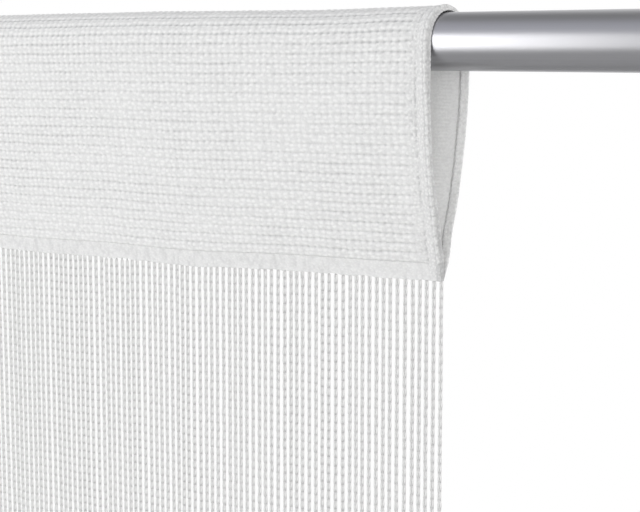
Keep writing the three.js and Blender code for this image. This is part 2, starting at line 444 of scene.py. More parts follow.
@dataclass(frozen=True)
class KnitFinish:
    """White polyester yarn, warp knitted: matt with a faint sheen, and with shade painted grey in its holes
    and between its stitches.
    """

    name: str
    colour: str = "#F1F1F0"
    # The grey that painted shade mixes towards; the random mottle mixes towards it too.
    painted_shade_colour: str = "#BEBEBE"
    stitches: StitchPattern = StitchPattern(1.5, 1.1)
    stitch_depth: float = 0.1
    # Painted shade between the stitches, where their bump sinks.
    stitch_dark: float = 0.2
    # The yarn's loose fibres are finer. They are drawn as coarse as it takes to show.
    fuzz_size: float = 1.0
    fuzz_depth: float = 0.12
    # Painted shade in the low parts of the fuzz.
    fuzz_dark: float = 0.2
    cloud_size: float = 14.0
    tone_spread: float = 0.06
    through: float = 0.5
    through_reach: float = 0.8
    hem_from: float | None = None
    hem_fade: Pair = (-1.0, 0.6)
    hem_stitches: StitchPattern = StitchPattern(1.7, 1.3)

    def distance(self, tree: Tree, place: Socket) -> Socket:
        """Adds the stitches, which lie scattered in the hem if the cloth has one.

        Args:
            tree: The material's tree.
            place: The place on the cloth, in metres.

        Returns:
            The socket that gives the distance from the middle of the stitch.
        """
        rows = self.stitches.distance(tree, place)
        if self.hem_from is None:
            return rows
        scattered = self.hem_stitches.distance(tree, place)
        across = add_node(tree, "ShaderNodeSeparateXYZ", {"Vector": place}).outputs["X"]
        from_middle = add_node(tree, "ShaderNodeMath", {0: across}, operation="ABSOLUTE").outputs[0]
        begins, whole = ((self.hem_from + fade) * METRES for fade in self.hem_fade)
        hem = add_node(
            tree, "ShaderNodeMapRange", {"Value": from_middle, "From Min": begins, "From Max": whole}
        ).outputs["Result"]
        return add_node(
            tree, "ShaderNodeMix", {"Factor": hem, "A": rows, "B": scattered}, data_type="FLOAT"
        ).outputs["Result"]

    def material(self) -> Material:
        """Makes the material. Its pattern follows the cloth, by the place that each point has on it.

        Returns:
            The material.
        """
        material, tree = empty_material(self.name)
        place = add_node(tree, "ShaderNodeUVMap", uv_map="cloth_place").outputs["UV"]
        # The painted shade that the mesh carries in its points.
        hollow = add_node(tree, "ShaderNodeAttribute", attribute_name="hollow").outputs["Fac"]
        distance = self.distance(tree, place)
        # Painted shade between the stitches.
        between = add_node(
            tree, "ShaderNodeMapRange",
            {"Value": distance, "From Min": 0.08, "From Max": 0.5},
            interpolation_type="SMOOTHSTEP",
        ).outputs["Result"]
        dim_between = add_node(
            tree, "ShaderNodeMath", {0: between, 1: self.stitch_dark}, operation="MULTIPLY"
        ).outputs[0]
        clouds = add_node(
            tree, "ShaderNodeTexNoise",
            {"Vector": place, "Scale": 1.0 / (self.cloud_size * METRES), "Detail": 2.0},
        ).outputs["Fac"]
        mottle_and_fuzz_shade = add_node(
            tree, "ShaderNodeMapRange",
            {"Value": clouds, "From Min": 0.3, "From Max": 0.7, "To Max": self.tone_spread},
        ).outputs["Result"]
        fuzz = add_node(
            tree, "ShaderNodeTexNoise",
            {"Vector": place, "Scale": 1.0 / (self.fuzz_size * METRES), "Detail": 3.0, "Distortion": 0.6},
        ).outputs["Fac"]
        # Painted shade in the fuzz's low parts, added to the random mottle.
        fuzz_shade = add_node(
            tree, "ShaderNodeMapRange",
            {"Value": fuzz, "From Min": 0.35, "From Max": 0.65, "To Min": self.fuzz_dark, "To Max": 0.0},
        ).outputs["Result"]
        mottle_and_fuzz_shade = add_node(tree, "ShaderNodeMath", {0: mottle_and_fuzz_shade, 1: fuzz_shade}, operation="ADD").outputs[0]
        dim = add_node(tree, "ShaderNodeMath", {0: hollow, 1: dim_between}, operation="ADD").outputs[0]
        dim = add_node(tree, "ShaderNodeMath", {0: dim, 1: mottle_and_fuzz_shade}, operation="ADD", use_clamp=True).outputs[0]
        tone = add_node(
            tree, "ShaderNodeMix",
            {"Factor": dim, "A": srgb(self.colour), "B": srgb(self.painted_shade_colour)},
            data_type="RGBA",
        ).outputs["Result"]
        stitch_relief = add_node(
            tree, "ShaderNodeBump",
            {"Height": between, "Strength": 0.8, "Distance": self.stitch_depth * METRES},
            invert=True,
        ).outputs["Normal"]
        relief = add_node(
            tree, "ShaderNodeBump",
            {"Height": fuzz, "Strength": 0.6, "Distance": self.fuzz_depth * METRES, "Normal": stitch_relief},
        ).outputs["Normal"]
        shader = add_node(
            tree, "ShaderNodeBsdfPrincipled",
            {
                "Base Color": tone, **YARN_GLOSS, "Sheen Roughness": 0.5, "Normal": relief,
                "Subsurface Weight": self.through, "Subsurface Radius": (1.0, 1.0, 1.0),
                "Subsurface Scale": self.through_reach * METRES,
            },
        ).outputs["BSDF"]
        add_node(tree, "ShaderNodeOutputMaterial", {"Surface": shader})
        return material


@dataclass(frozen=True)
class ChainLengthFinish:
    """The same yarn on the strings' plain lengths, its links only a pattern of stitch mouths with painted
    shade.
    """

    name: str = "polyester_chain_length"
    # Its colour is greyer than the links' yarn: painted shade that matches the shaded linked lengths above.
    colour: str = "#E2E2E1"
    painted_shade_colour: str = "#B8B8B8"
    link_pitch: float = LINK_PITCH
    # Painted shade in the stitch mouths.
    mouth_dark: float = 0.75
    mouth_depth: float = 0.15

    def material(self) -> Material:
        """Makes the material. The stitch mouths, a bump with painted shade, repeat down the string, at its
        links' pitch.

        Returns:
            The material.
        """
        material, tree = empty_material(self.name)
        place = add_node(tree, "ShaderNodeTexCoord").outputs["Object"]
        height = add_node(tree, "ShaderNodeSeparateXYZ", {"Vector": place}).outputs["Z"]
        turn = add_node(
            tree, "ShaderNodeMath",
            {0: height, 1: 2.0 * math.pi / (self.link_pitch * METRES)},
            operation="MULTIPLY",
        ).outputs[0]
        links = add_node(tree, "ShaderNodeMath", {0: turn}, operation="SINE").outputs[0]
        # Painted shade in the stitch mouths, the darker of it and the mesh's own painted shade.
        mouths = add_node(
            tree, "ShaderNodeMapRange",
            {"Value": links, "From Min": 0.1, "To Max": self.mouth_dark},
            interpolation_type="SMOOTHSTEP",
        ).outputs["Result"]
        hollow = add_node(tree, "ShaderNodeAttribute", attribute_name="hollow").outputs["Fac"]
        depth = add_node(tree, "ShaderNodeMath", {0: mouths, 1: hollow}, operation="MAXIMUM").outputs[0]
        tone = add_node(
            tree, "ShaderNodeMix",
            {"Factor": depth, "A": srgb(self.colour), "B": srgb(self.painted_shade_colour)},
            data_type="RGBA",
        ).outputs["Result"]
        relief = add_node(
            tree, "ShaderNodeBump",
            {"Height": links, "Strength": 0.5, "Distance": self.mouth_depth * METRES},
            invert=True,
        ).outputs["Normal"]
        shader = add_node(
            tree, "ShaderNodeBsdfPrincipled", {"Base Color": tone, **YARN_GLOSS, "Normal": relief}
        ).outputs["BSDF"]
        add_node(tree, "ShaderNodeOutputMaterial", {"Surface": shader})
        return material


@dataclass(frozen=True)
class Finishes:
    """All the curtain's materials."""

    metal: Material
    rib_knit: Material
    knit_back: Material
    plain_knit: Material
    selvedge: Material
    selvedge_behind: Material
    edge_thread: Material
    seam_thread: Material
    chain: Material
    chain_length: Material

    @classmethod
    def make(cls) -> "Finishes":
        """Makes each material once.

        Returns:
            The materials.
        """
        return cls(
            metal=SatinMetalFinish().material(),
            # The ribbed face: soft swellings in rows, with shade painted grey where the holes let no light
            # in.
            rib_knit=KnitFinish(
                "polyester_rib_knit",
                stitches=StitchPattern(WALE_PITCH, STITCH_ROW, 0.55, first=FIRST_WALE),
                stitch_dark=0.26,
                hem_from=HEM_FROM_MIDDLE,
            ).material(),
            # The knit's reverse: flatter, and paler: its subsurface lets light through the cloth, and its
            # paler colour paints in more of that light.
            knit_back=KnitFinish(
                "polyester_knit_reverse",
                colour="#FAFAF9",
                stitches=StitchPattern(7.0, 1.3, 0.3),
                stitch_dark=0.12,
                through=1.0,
                through_reach=2.4,
            ).material(),
            # The band: a finer, flatter knit, a little greyer than the ribs.
            plain_knit=KnitFinish(
                "polyester_plain_knit",
                colour="#EAEAE9",
                stitches=StitchPattern(1.5, 1.0),
                stitch_depth=0.07,
                stitch_dark=0.15,
                fuzz_dark=0.12,
            ).material(),
            # The selvedge: small dense stitches with grey between them.
            selvedge=KnitFinish(
                "polyester_selvedge",
                stitches=StitchPattern(1.4, 1.1),
                stitch_dark=0.3,
                through=0.3,
                through_reach=0.5,
            ).material(),
            # The zigzag thread along the selvedge: the whitest yarn, and smooth.
            edge_thread=KnitFinish(
                "polyester_edge_thread",
                colour="#FEFEFE",
                stitch_dark=0.0,
                fuzz_dark=0.0,
                tone_spread=0.0,
                through=0.0,
            ).material(),
            # The selvedge on the back: lit from its far side through its subsurface, and its paler colour
            # paints in more of that light, so it looks paler and softer.
            selvedge_behind=KnitFinish(
                "polyester_selvedge_behind",
                colour="#FCFCFB",
                stitches=StitchPattern(1.4, 1.1),
                stitch_dark=0.15,
                through=1.0,
                through_reach=2.7,
            ).material(),
            # The sewing thread: a little greyer than the knit, painted shade for its sunk groove, so its line
            # shows.
            seam_thread=KnitFinish("polyester_sewing_thread", colour="#E6E6E6", through=0.0).material(),
            # The strings' links: nearly even yarn, with painted shade only inside the stitches.
            chain=KnitFinish(
                "polyester_chain_stitch",
                painted_shade_colour="#BCBCBC",
                stitch_depth=0.02,
                stitch_dark=0.05,
                fuzz_depth=0.03,
                fuzz_dark=0.05,
                through=0.0,
            ).material(),
            # The plain lengths: the same yarn in a greyer colour, with painted shade in stitch mouths one
            # below the other.
            chain_length=ChainLengthFinish().material(),
        )


@dataclass(frozen=True)
class HeadShape:
    """Where the head's cloth hangs: taut from the rod in the middle, an open pocket at the ends."""

    half_width: float = HALF_WIDTH
    rod_radius: float = 10.0
    part_gap: float = 0.3
    thickness: float = 1.2
    band_height: float = 6.0
    seam_half_width: float = 0.9
    ribs: int = 54
    drawn_in: float = 1.7
    drawn_reach: float = 60.0
    drawn_curve: float = 1.5
    bulge_reach: float = 0.77
    table_reach: float = 10.0
    dense_shares: int = 541
    softening: float = 6.0
    softening_taps: int = 15
    # How far the band's lower edge lies below the rod's axis, by the distance from the nearer end.
    lower_edge_rows: Table = (
        (0, 83.0), (28, 83.7), (52, 84.4), (80, 85.6), (110, 87.1), (140, 88.4), (180, 89.4),
        (240, 90.0), (450, 90.2),
    )
    # How far the fold's crest stands off the rod, by the distance from the nearer end.
    crest_rows: Table = (
        (0, 0.9), (28, 0.4), (52, 0.0), (80, 0.25), (140, 0.7), (240, 0.4), (340, 0.15), (450, 0.5),
    )
    # The open end's half outline: how far below the axis, and the half width there, from the seam up.
    end_rows: Table = (
        (76.7, 1.1), (70, 3.0), (60, 5.4), (50, 7.6), (40, 9.3), (30, 10.5), (20, 11.4), (10, 11.6),
        (0, 11.2),
    )
    # How far the end of the cloth stands out along the rod, at the front seam.
    end_start: float = 0.5
    # Round the fold it steps by a height, between two shares of the way.
    end_steps: Table = ((-0.9, 0.08, 0.22), (1.8, 0.5, 0.6), (0.6, 0.84, 0.98))
    # It also dips by a depth at a share of the way, over a reach.
    end_dips: Table = ((0.5, 0.44, 0.06), (0.75, 0.945, 0.04))
    end_fade: Pair = (2.0, 9.0)
    seam_waves: tuple[Wave, ...] = (Wave(0.45, 236.0, 0.6), Wave(0.3, 97.0, 2.1))
    front_bulge: Wave = Wave(0.5, 181.0, 2.2)
    back_bulge: Wave = Wave(0.5, 207.0, 0.7)

    def from_end(self, x: Array) -> Array:
        """How far each place lies inside the curtain's nearer end."""
        return np.maximum(0.0, self.half_width - np.abs(x))

    def below(self, x: Array) -> Array:
        """How far below the axis the band's lower edge lies, before its soft waves."""
        return soft_table(self.lower_edge_rows, self.from_end(x), self.table_reach)

    def lower_edge(self, x: Array) -> Array:
        """The height of the band's lower edge."""
        near = np.minimum(1.0, self.from_end(x) / self.drawn_reach)
        return sum(wave.at(x) for wave in self.seam_waves) * near - self.below(x)

    def seam(self, x: Array) -> Array:
        """The height of the seam, where the head ends and the band begins."""
        return self.lower_edge(x) + self.band_height + self.part_gap

    @staticmethod
    def arc(half_width: float, height: float, start: float, steps: int = 40) -> Array:
        """Part of an ellipse from a starting angle up to its crest, as rows of width and height."""
        angles = np.linspace(start, math.pi / 2.0, steps)
        return np.stack([half_width * np.cos(angles), height * np.sin(angles)], axis=1)

    @staticmethod
    def along(line: Array, share: Array) -> Array:
        """Reads a line at shares of its length.

        Args:
            line: The line's points, as rows of depth and height.
            share: Shares of the line's length.

        Returns:
            A point for each share.
        """
        steps = np.hypot(*np.diff(line, axis=0).T)
        reached = np.concatenate([[0.0], np.cumsum(steps)]) / steps.sum()
        return np.stack([np.interp(share, reached, line[:, k]) for k in (0, 1)], axis=-1)

    def middle_line(self, x: float, share: Array) -> Array:
        """The middle of the cloth in the section at one place.

        Args:
            x: The place along the rod.
            share: Shares of the way round, from the front seam to the back one.

        Returns:
            A row of depth and height for each share.
        """
        middle_below, end_below = self.lower_edge_rows[-1][1], self.lower_edge_rows[0][1]
        place = np.array([x])
        below = self.below(place)[0]
        lift = soft_table(self.crest_rows, self.from_end(place), self.table_reach)[0]
        radius = self.rod_radius + self.part_gap + self.thickness / 2.0 + lift
        opened = (middle_below - below) / (middle_below - end_below)
        seam = -(middle_below - self.band_height - self.part_gap)
        taut_arc = self.arc(radius, radius, -math.asin(radius / -seam))
        taut = np.concatenate([[[self.seam_half_width, seam]], taut_arc])
        side_line = np.array([(half, -down) for down, half in self.end_rows])
        loose = np.concatenate([side_line, self.arc(side_line[-1, 0], radius, 0.0)[1:]])
        up = 1.0 - np.abs(2.0 * share - 1.0)
        at = (1.0 - opened) * self.along(taut, up) + opened * self.along(loose, up)
        front = share < 0.5
        bulge = np.where(front, self.front_bulge.at(place)[0], self.back_bulge.at(place)[0])
        bulge = np.maximum(0.0, bulge) * np.sin(math.pi * np.minimum(1.0, up / self.bulge_reach))
        bulge = bulge * (1.0 - opened)
        shift = self.lower_edge(place)[0] + below
        side = np.where(front, -1.0, 1.0)
        return np.stack([side * (at[:, 0] + bulge), at[:, 1] + shift * (1.0 - up)], axis=1)

    def fuller(self, share: Array) -> Array:
        """How far the end of the cloth stands out along the rod.

        Args:
            share: Shares of the way round, from the front seam to the back one.

        Returns:
            The distance in millimetres for each share.
        """
        steps = sum(height * smooth_step(low, high, share) for height, low, high in self.end_steps)
        dips = sum(depth * hump(share - at, reach) for depth, at, reach in self.end_dips)
        return self.end_start + steps - dips

    def soften(self, lines: Array) -> Array:
        """Rounds the corners of the sections, and keeps their ends where they are.

        Args:
            lines: The sections' points, by section and by share of the way round.

        Returns:
            The softened points.
        """
        reach, count = self.softening_taps, lines.shape[1]
        weights = np.exp(-0.5 * (np.arange(-reach, reach + 1) / self.softening) ** 2)
        padded = np.pad(lines, ((0, 0), (reach, reach), (0, 0)), mode="reflect", reflect_type="odd")
        total = sum(weight * padded[:, tap:tap + count] for tap, weight in enumerate(weights))
        return total / weights.sum()

    def points(self, x: Array, share: Array, off: Array) -> Array:
        """Places on the cloth.

        Args:
            x: Places along the rod, one for each section.
            share: Shares of the way round, from the front seam to the back one.
            off: For each section and share, how far off the middle of the cloth, outwards.

        Returns:
            An array of points, by section and share.
        """
        dense = np.linspace(0.0, 1.0, self.dense_shares)
        lines = self.soften(np.stack([self.middle_line(float(place), dense) for place in x]))
        slopes = np.gradient(lines, axis=1)
        slopes /= np.linalg.norm(slopes, axis=2, keepdims=True)
        rows = [np.concatenate([line, slope], axis=1) for line, slope in zip(lines, slopes)]
        read = np.stack([
            np.stack([np.interp(share, dense, row[:, k]) for k in range(4)], axis=1) for row in rows
        ])
        depth = read[..., 0] - read[..., 3] * off
        height = read[..., 1] + read[..., 2] * off
        near = np.maximum(0.0, 1.0 - self.from_end(x) / self.drawn_reach)
        down = np.abs(2.0 * share - 1.0)
        pulled = self.drawn_in * np.outer(near, down ** self.drawn_curve)
        spread = np.outer(1.0 - smooth_step(*self.end_fade, self.from_end(x)), self.fuller(share))
        across = x[:, None] + np.sign(x)[:, None] * (spread - pulled)
        return np.stack([across, depth, height], axis=2)


@dataclass(frozen=True)
class KnitRelief:
    """The relief of the rib knit and the shade painted on it: ribs of two stitch rows each, one stitch to a
    wale, and mottled hems.

    A place on it is given along the rod and in ribs up from the front seam.
    """

    first_wale: float = FIRST_WALE
    wale_pitch: float = WALE_PITCH
    half_width: float = HALF_WIDTH
    # Where the legs and the ovals of a rib's stitches lie, as shares of the way up it.
    leg_row: float = 0.27
    oval_row: float = 0.75
    rib_depth: float = 0.34
    oval_height: float = 0.26
    leg_height: float = 0.16
    hole_depth: float = 0.22
    slit_depth: float = 0.06
    nick_depth: float = 0.08
    row_line_depth: float = 0.05
    # How far these forms reach, across in wales and up in ribs.
    oval_reach: Pair = (0.36, 0.15)
    leg_reach: float = 0.17
    leg_slant: float = 0.3
    hole_reach: Pair = (0.2, 0.11)
    slit_reach: Pair = (0.14, 0.16)
    nick_reach: Pair = (0.16, 0.08)
    row_line_reach: float = 0.06
    # How strongly the holes show: on the whole, how unevenly, and more in some ribs and patches.
    strength: float = 0.55
    strength_spread: float = 0.35
    strength_limits: Pair = (0.05, 1.5)
    patch_strength: float = 0.35
    bold_strength: float = 0.6
    boldest_rib: float = 23.5
    bold_reach: float = 3.0
    # Painted shade in the holes, slits and nicks, and along the grooves, stronger where the holes are.
    hole_dark: float = 0.5
    slit_dark: float = 0.05
    nick_dark: float = 0.25
    groove_dark: Pair = (0.04, 0.12)
    wandering: float = 0.15
    wavering: float = 0.07
    wander: SoftNoise = SoftNoise(3, (6.3, 0.61))
    waver: SoftNoise = SoftNoise(7, (13.0, 1.3))
    vigour: SoftNoise = SoftNoise(5, (38.0, 3.1))
    patches: SoftNoise = SoftNoise(11, (4.7, 0.83))
    hem_width: float = 8.6
    hem_fade: float = 1.6
    hem_relief: float = 0.16
    hem_column: float = 2.3
    hem_crossings: Pair = (3.6, 3.1)
    hem_noise: SoftNoise = SoftNoise(17, (1.5, 0.37))
    # How much of the hem's mottle is columns, crossings and noise.
    hem_shares: Triple = (0.5, 0.7, 0.9)
    # Painted shade in the hem, darker where its mottle is low.
    hem_dark: float = 0.06
    hem_dark_spread: float = 0.36
    hem_darkest: float = 0.7
    # Under the selvedge the cloth is thinner by this much, and fully so up to the first place from the end.
    edge_thinning: float = 0.3
    thinned: Pair = (3.6, 6.2)

    def knit(self, x: Array, rib: Array) -> tuple[Array, Array]:
        """Shapes the rib knit.

        Args:
            x: Places along the rod.
            rib: Places round the pocket, in ribs.

        Returns:
            The relief in millimetres and the painted shade.
        """
        wale = (x - self.first_wale) / self.wale_pitch + self.wandering * self.wander.at(x, rib)
        across = wale - np.round(wale)
        gap = 0.5 - np.abs(across)
        up = rib - np.floor(rib)
        groove = np.minimum(up, 1.0 - up)
        from_leg, from_middle, from_oval = up - self.leg_row, up - 0.5, up - self.oval_row
        patch = self.patches.at(x, rib)
        bold = hump(rib - self.boldest_rib, self.bold_reach)
        strength = self.strength + self.strength_spread * self.vigour.at(x, rib)
        strength = strength + self.bold_strength * bold + self.patch_strength * patch
        strength = np.clip(strength, *self.strength_limits)
        # What stands up: the rib itself, an oval in each wale, and two slanting legs in the row below it.
        body = np.sin(math.pi * up) ** 0.9
        wide, high = self.oval_reach
        oval = np.exp(-((across / wide) ** 4)) * hump(from_oval, high) * (1.0 + 0.4 * patch)
        slant = 2.0 * across - self.leg_slant * (from_leg / 0.2)
        legs = (0.5 + 0.5 * np.cos(2.0 * math.pi * slant)) * hump(from_leg, self.leg_reach)
        # What is sunk: holes in the grooves, slits between the ovals, nicks in the line between the rows.
        beside = 0.5 - np.abs(across - 0.12)
        hole, slit, nick = (
            hump(aside, reach[0]) * hump(above, reach[1]) * strength
            for aside, above, reach in (
                (gap, groove, self.hole_reach),
                (gap, from_oval, self.slit_reach),
                (beside, from_middle, self.nick_reach),
            )
        )
        relief = (
            self.rib_depth * (body - 0.5) + self.oval_height * oval + self.leg_height * legs
            - self.hole_depth * hole - self.slit_depth * slit - self.nick_depth * nick
            - self.row_line_depth * hump(from_middle, self.row_line_reach)
        )
        # Painted shade in the holes, slits and nicks, and along the grooves.
        dark, more_dark = self.groove_dark
        hollow = self.hole_dark * hole + self.slit_dark * slit + self.nick_dark * nick
        return relief, hollow + (dark + more_dark * strength) * hump(groove, 0.1)

    def hem(self, x: Array, rib: Array) -> tuple[Array, Array]:
        """Shapes the mottled hem.

        Args:
            x: Places along the rod.
            rib: Places round the pocket, in ribs.

        Returns:
            The relief in millimetres and the painted shade.
        """
        inside = self.half_width - np.abs(x)
        body = np.sin(math.pi * (rib - np.floor(rib))) ** 0.9
        columns = np.cos(2.0 * math.pi * (inside / self.hem_column + 0.2 * np.sin(2.0 * math.pi * rib)))
        rising, falling = (inside / pitch for pitch in self.hem_crossings)
        crossing = np.cos(2.0 * math.pi * (rising + rib)) * np.cos(2.0 * math.pi * (falling - rib))
        noise = self.hem_noise.at(x, rib)
        mottle = sum(share * form for share, form in zip(self.hem_shares, (columns, crossing, noise)))
        relief = 0.5 * self.rib_depth * (body - 0.5) + self.hem_relief * mottle
        # Painted shade where the mottle is low.
        return relief, np.clip(self.hem_dark - self.hem_dark_spread * mottle, 0.0, self.hem_darkest)

    def parts(self, x: Array, rib: Array) -> tuple[Array, Array]:
        """Relief and painted shade at places on the cloth.

        Args:
            x: Places along the rod.
            rib: Places round the pocket, in ribs.

        Returns:
            The relief in millimetres and the painted shade from 0 to 1.
        """
        wavy = rib + self.wavering * self.waver.at(x, rib) * smooth_step(0.0, 1.0, rib)
        knit_relief, knit_painted_shade = self.knit(x, wavy)
        hem_relief, hem_painted_shade = self.hem(x, wavy)
        inside = self.half_width - np.abs(x)
        hem = 1.0 - smooth_step(self.hem_width - self.hem_fade, self.hem_width, inside)
        thinning = self.edge_thinning * (1.0 - smooth_step(*self.thinned, inside))
        relief = knit_relief * (1.0 - hem) + hem_relief * hem - thinning
        hollow = knit_painted_shade * smooth_step(0.0, 0.5, rib) * (1.0 - hem) + hem_painted_shade * hem
        return relief, np.clip(hollow, 0.0, 1.0)


class Density(Enum):
    """How finely a panel is drawn: the steps in each wale, and in each rib from its groove up."""

    FINE = ((-0.5, -0.3, 0.0, 0.3), (0.0, 0.07, 0.18, 0.32, 0.46, 0.6, 0.76, 0.92))
    PLAIN = ((-0.5, 0.0), (0.0, 0.26, 0.5, 0.74))


@dataclass
class KnittedHead:
    """The head: one ribbed band folded over the rod, with its selvedges, made as panels of one cloth."""

    finishes: Finishes
    shape: HeadShape = field(default_factory=HeadShape)
    relief: KnitRelief = field(default_factory=KnitRelief)
    wales: int = 290
    corner_wales: int = 74
    crest_ribs: int = 31
    lining_rib_steps: int = 4
    # The selvedge's section: how far inside the end and off the cloth's middle, how scalloped, how ridged.
    edge_section: Table = (
        (6.3, 0.2, 0.0, 0.0), (4.9, 0.64, 0.1, 0.0), (3.0, 0.76, 0.3, 0.0), (2.4, 0.62, 0.4, 0.0),
        (1.95, 0.88, 0.9, 0.0), (1.45, 0.95, 1.0, 0.0), (1.05, 0.76, 1.0, 0.0), (0.95, 0.42, 0.5, 0.0),
        (0.7, 0.12, 0.3, 0.0), (0.48, -0.2, 0.2, 0.0), (0.22, -0.5, 0.4, 0.0), (0.05, -0.76, 0.8, 0.0),
        (0.4, -0.84, 0.6, 0.0), (1.3, -0.68, 0.3, 0.0), (2.4, -0.66, 0.2, 0.0), (2.7, -0.7, 0.0, 0.5),
        (3.0, -0.7, 0.0, 1.0), (3.3, -0.7, 0.0, 1.0), (3.6, -0.64, 0.0, 0.5), (3.85, -0.56, 0.1, 0.0),
        (4.1, -0.42, 0.0, 0.0),
    )
    edge_steps: int = 10
    lip_points: int = 4
    scallop_swell: float = 0.14
    scallop_notch: float = 0.2
    uneven_off: float = 0.07
    uneven_out: float = 0.06
    zigzag_rise: float = 0.34
    zigzag_swing: float = 0.35
    # The zigzag ridge stays clear of the rod: it fades out before the crest and returns behind it.
    ridge_fades: Pair = (0.36, 0.4)
    ridge_returns: Pair = (0.6, 0.64)
    # In the front's upper half the selvedge's outer side is squarer.
    square_reach: float = 0.7
    square_grows: Pair = (0.1, 0.22)
    square_fades: Pair = (0.26, 0.37)
    # From the crest on, the selvedge's outer side ends nearer the curtain's end.
    held_from: float = 3.0
    hold: float = 0.95
    hold_grows: Pair = (0.5, 0.56)
    behind_share: float = 0.53
    # Painted shade on the selvedge: between its scallops, on its end face, beside its cord and at its foot.
    between_dark: float = 0.4
    face_dark: float = 0.3
    cord_dark: float = 0.3
    foot_dark: float = 0.3
    # The selvedge's run down the band's ends: its steps, and how far it is drawn in on the front and back.
    tail_shares: tuple[float, ...] = (1.0, 0.75, 0.5, 0.25)
    tail_drawn: Pair = (0.1, 1.6)
    tail_ribs: float = 1.7
    tail_thinning: float = 0.5
    tail_end_gap: float = 0.1

    def panel(self, name: str, wales: tuple[int, int], ribs: tuple[int, int], density: Density) -> Piece:
        """One closed panel of the cloth, with its relief outside and a smooth side towards the rod.

        Args:
            name: The piece's name.
            wales: The first wale and the one after the last.
            ribs: The first rib and the one after the last, counted round from the front seam.
            density: How finely the panel is drawn.

        Returns:
            The panel's object.
        """
        wale_steps, rib_steps = (np.array(steps) for steps in density.value)
        pitch, start = self.relief.wale_pitch, self.relief.first_wale
        x = (np.arange(*wales)[:, None] + wale_steps).ravel()
        x = start + pitch * np.append(x, wales[1] - 0.5)
        rib = np.append((np.arange(*ribs)[:, None] + rib_steps).ravel(), ribs[1])
        heights, hollow = self.relief.parts(*np.meshgrid(x, rib, indexing="ij"))
        half = self.shape.thickness / 2.0
        outer = self.shape.points(x, rib / self.shape.ribs, half + heights)
        ratio_x, ratio_rib = len(wale_steps), self.lining_rib_steps
        lining_x, lining_rib = x[::ratio_x], rib[::ratio_rib]
        lining = np.full((len(lining_x), len(lining_rib)), -half)
        inner = self.shape.points(lining_x, lining_rib / self.shape.ribs, lining)
        first = outer.shape[0] * outer.shape[1]
        outside = grid_faces(*outer.shape[:2])
        inside = grid_faces(*inner.shape[:2], first=first, flipped=True)
        steps_x, steps_rib = len(lining_x) - 1, len(lining_rib) - 1
        ratios = [ratio_x] * steps_x + [ratio_rib] * steps_rib
        rim = rim_faces(border(*outer.shape[:2]), border(*inner.shape[:2], first=first), ratios * 2)
        place = [np.stack(np.meshgrid(u, v * self.rib_pitch, indexing="ij"), axis=2).reshape(-1, 2)
                 for u, v in ((x, rib), (lining_x, lining_rib))]
        surface = Surface(
            points=np.concatenate([outer.reshape(-1, 3), inner.reshape(-1, 3)]),
            faces=outside + inside + rim,
            hollow=np.concatenate([hollow.ravel(), np.zeros(inner.shape[0] * inner.shape[1])]),
            cloth_place=np.concatenate(place),
            face_finish=[0] * len(outside) + [1] * len(inside) + [0] * len(rim),
        )
        return surface.to_object(name, [self.finishes.rib_knit, self.finishes.knit_back])

    @property
    def rib_pitch(self) -> float:
        """The width of one rib of the cloth."""
        down = self.shape.lower_edge_rows[-1][1] - self.shape.band_height - self.shape.part_gap
        return 2.0 * (down + self.shape.rod_radius * math.pi / 2.0) / self.shape.ribs

    def tail(self, ring: Array, drop: Array, drawn_in: float) -> Array:
        """The selvedge's run down the band's end: its last ring lowered, thinned and drawn in.

        Args:
            ring: The ring at the seam.
            drop: Shares of the way down to the band's lower edge.
            drawn_in: How far the selvedge is drawn towards the left there.

        Returns:
            A ring for each share.
        """
        rings = np.repeat(ring[None], len(drop), axis=0)
        rings[..., 0] -= drawn_in * drop[:, None]
        rings[..., 1] *= 1.0 - self.tail_thinning * drop[:, None]
        down = self.shape.band_height + self.shape.part_gap - self.tail_end_gap
        rings[..., 2] -= down * drop[:, None]
        return rings

    def edge_points(self, side: Side, rib: Array, wobble: Array) -> Array:
        """The selvedge's points, before its tails.

        Args:
            side: The end of the curtain.
            rib: Steps round the pocket, in ribs.
            wobble: The unevenness of each point of the section at each step.

        Returns:
            An array of points, by step and point of the section.
        """
        inside, level, scalloped, ridge = np.array(self.edge_section).T
        share = rib / self.shape.ribs
        scallop = np.abs(np.sin(2.0 * math.pi * (rib - np.floor(rib)))) ** 0.7 - 0.6
        crest = hump(share - 0.5, 0.1)
        swell = 1.0 + self.scallop_swell * scallop * scalloped[:, None]
        off = level[:, None] * swell + self.uneven_off * wobble
        off = off * (1.0 + (level[:, None] < -0.3) * 0.15 * crest) + (level[:, None] > 0.3) * 0.2 * crest
        clear = 1.0 - smooth_step(*self.ridge_fades, share) + smooth_step(*self.ridge_returns, share)
        off = off - self.zigzag_rise * np.outer(ridge, clear)
        points = self.shape.points(side.value * (self.shape.half_width - inside), share, off)
        held = np.maximum(0.0, inside - self.held_from) * (level > 0.0)
        outward = self.hold * np.outer(held, smooth_step(*self.hold_grows, share))
        square = smooth_step(*self.square_grows, share) * (1.0 - smooth_step(*self.square_fades, share))
        outward += self.square_reach * np.outer(smooth_step(0.0, 0.7, level), square)
        notches = np.outer(scalloped, scallop * (1.0 - 0.6 * crest))
        outward += self.scallop_notch * notches + self.uneven_out * wobble
        swing = np.round(np.sin(0.5 * math.pi * np.arange(len(share))))
        points[..., 0] += side.value * outward + np.outer(ridge > 0.0, self.zigzag_swing * swing * clear)
        return points.transpose(1, 0, 2)

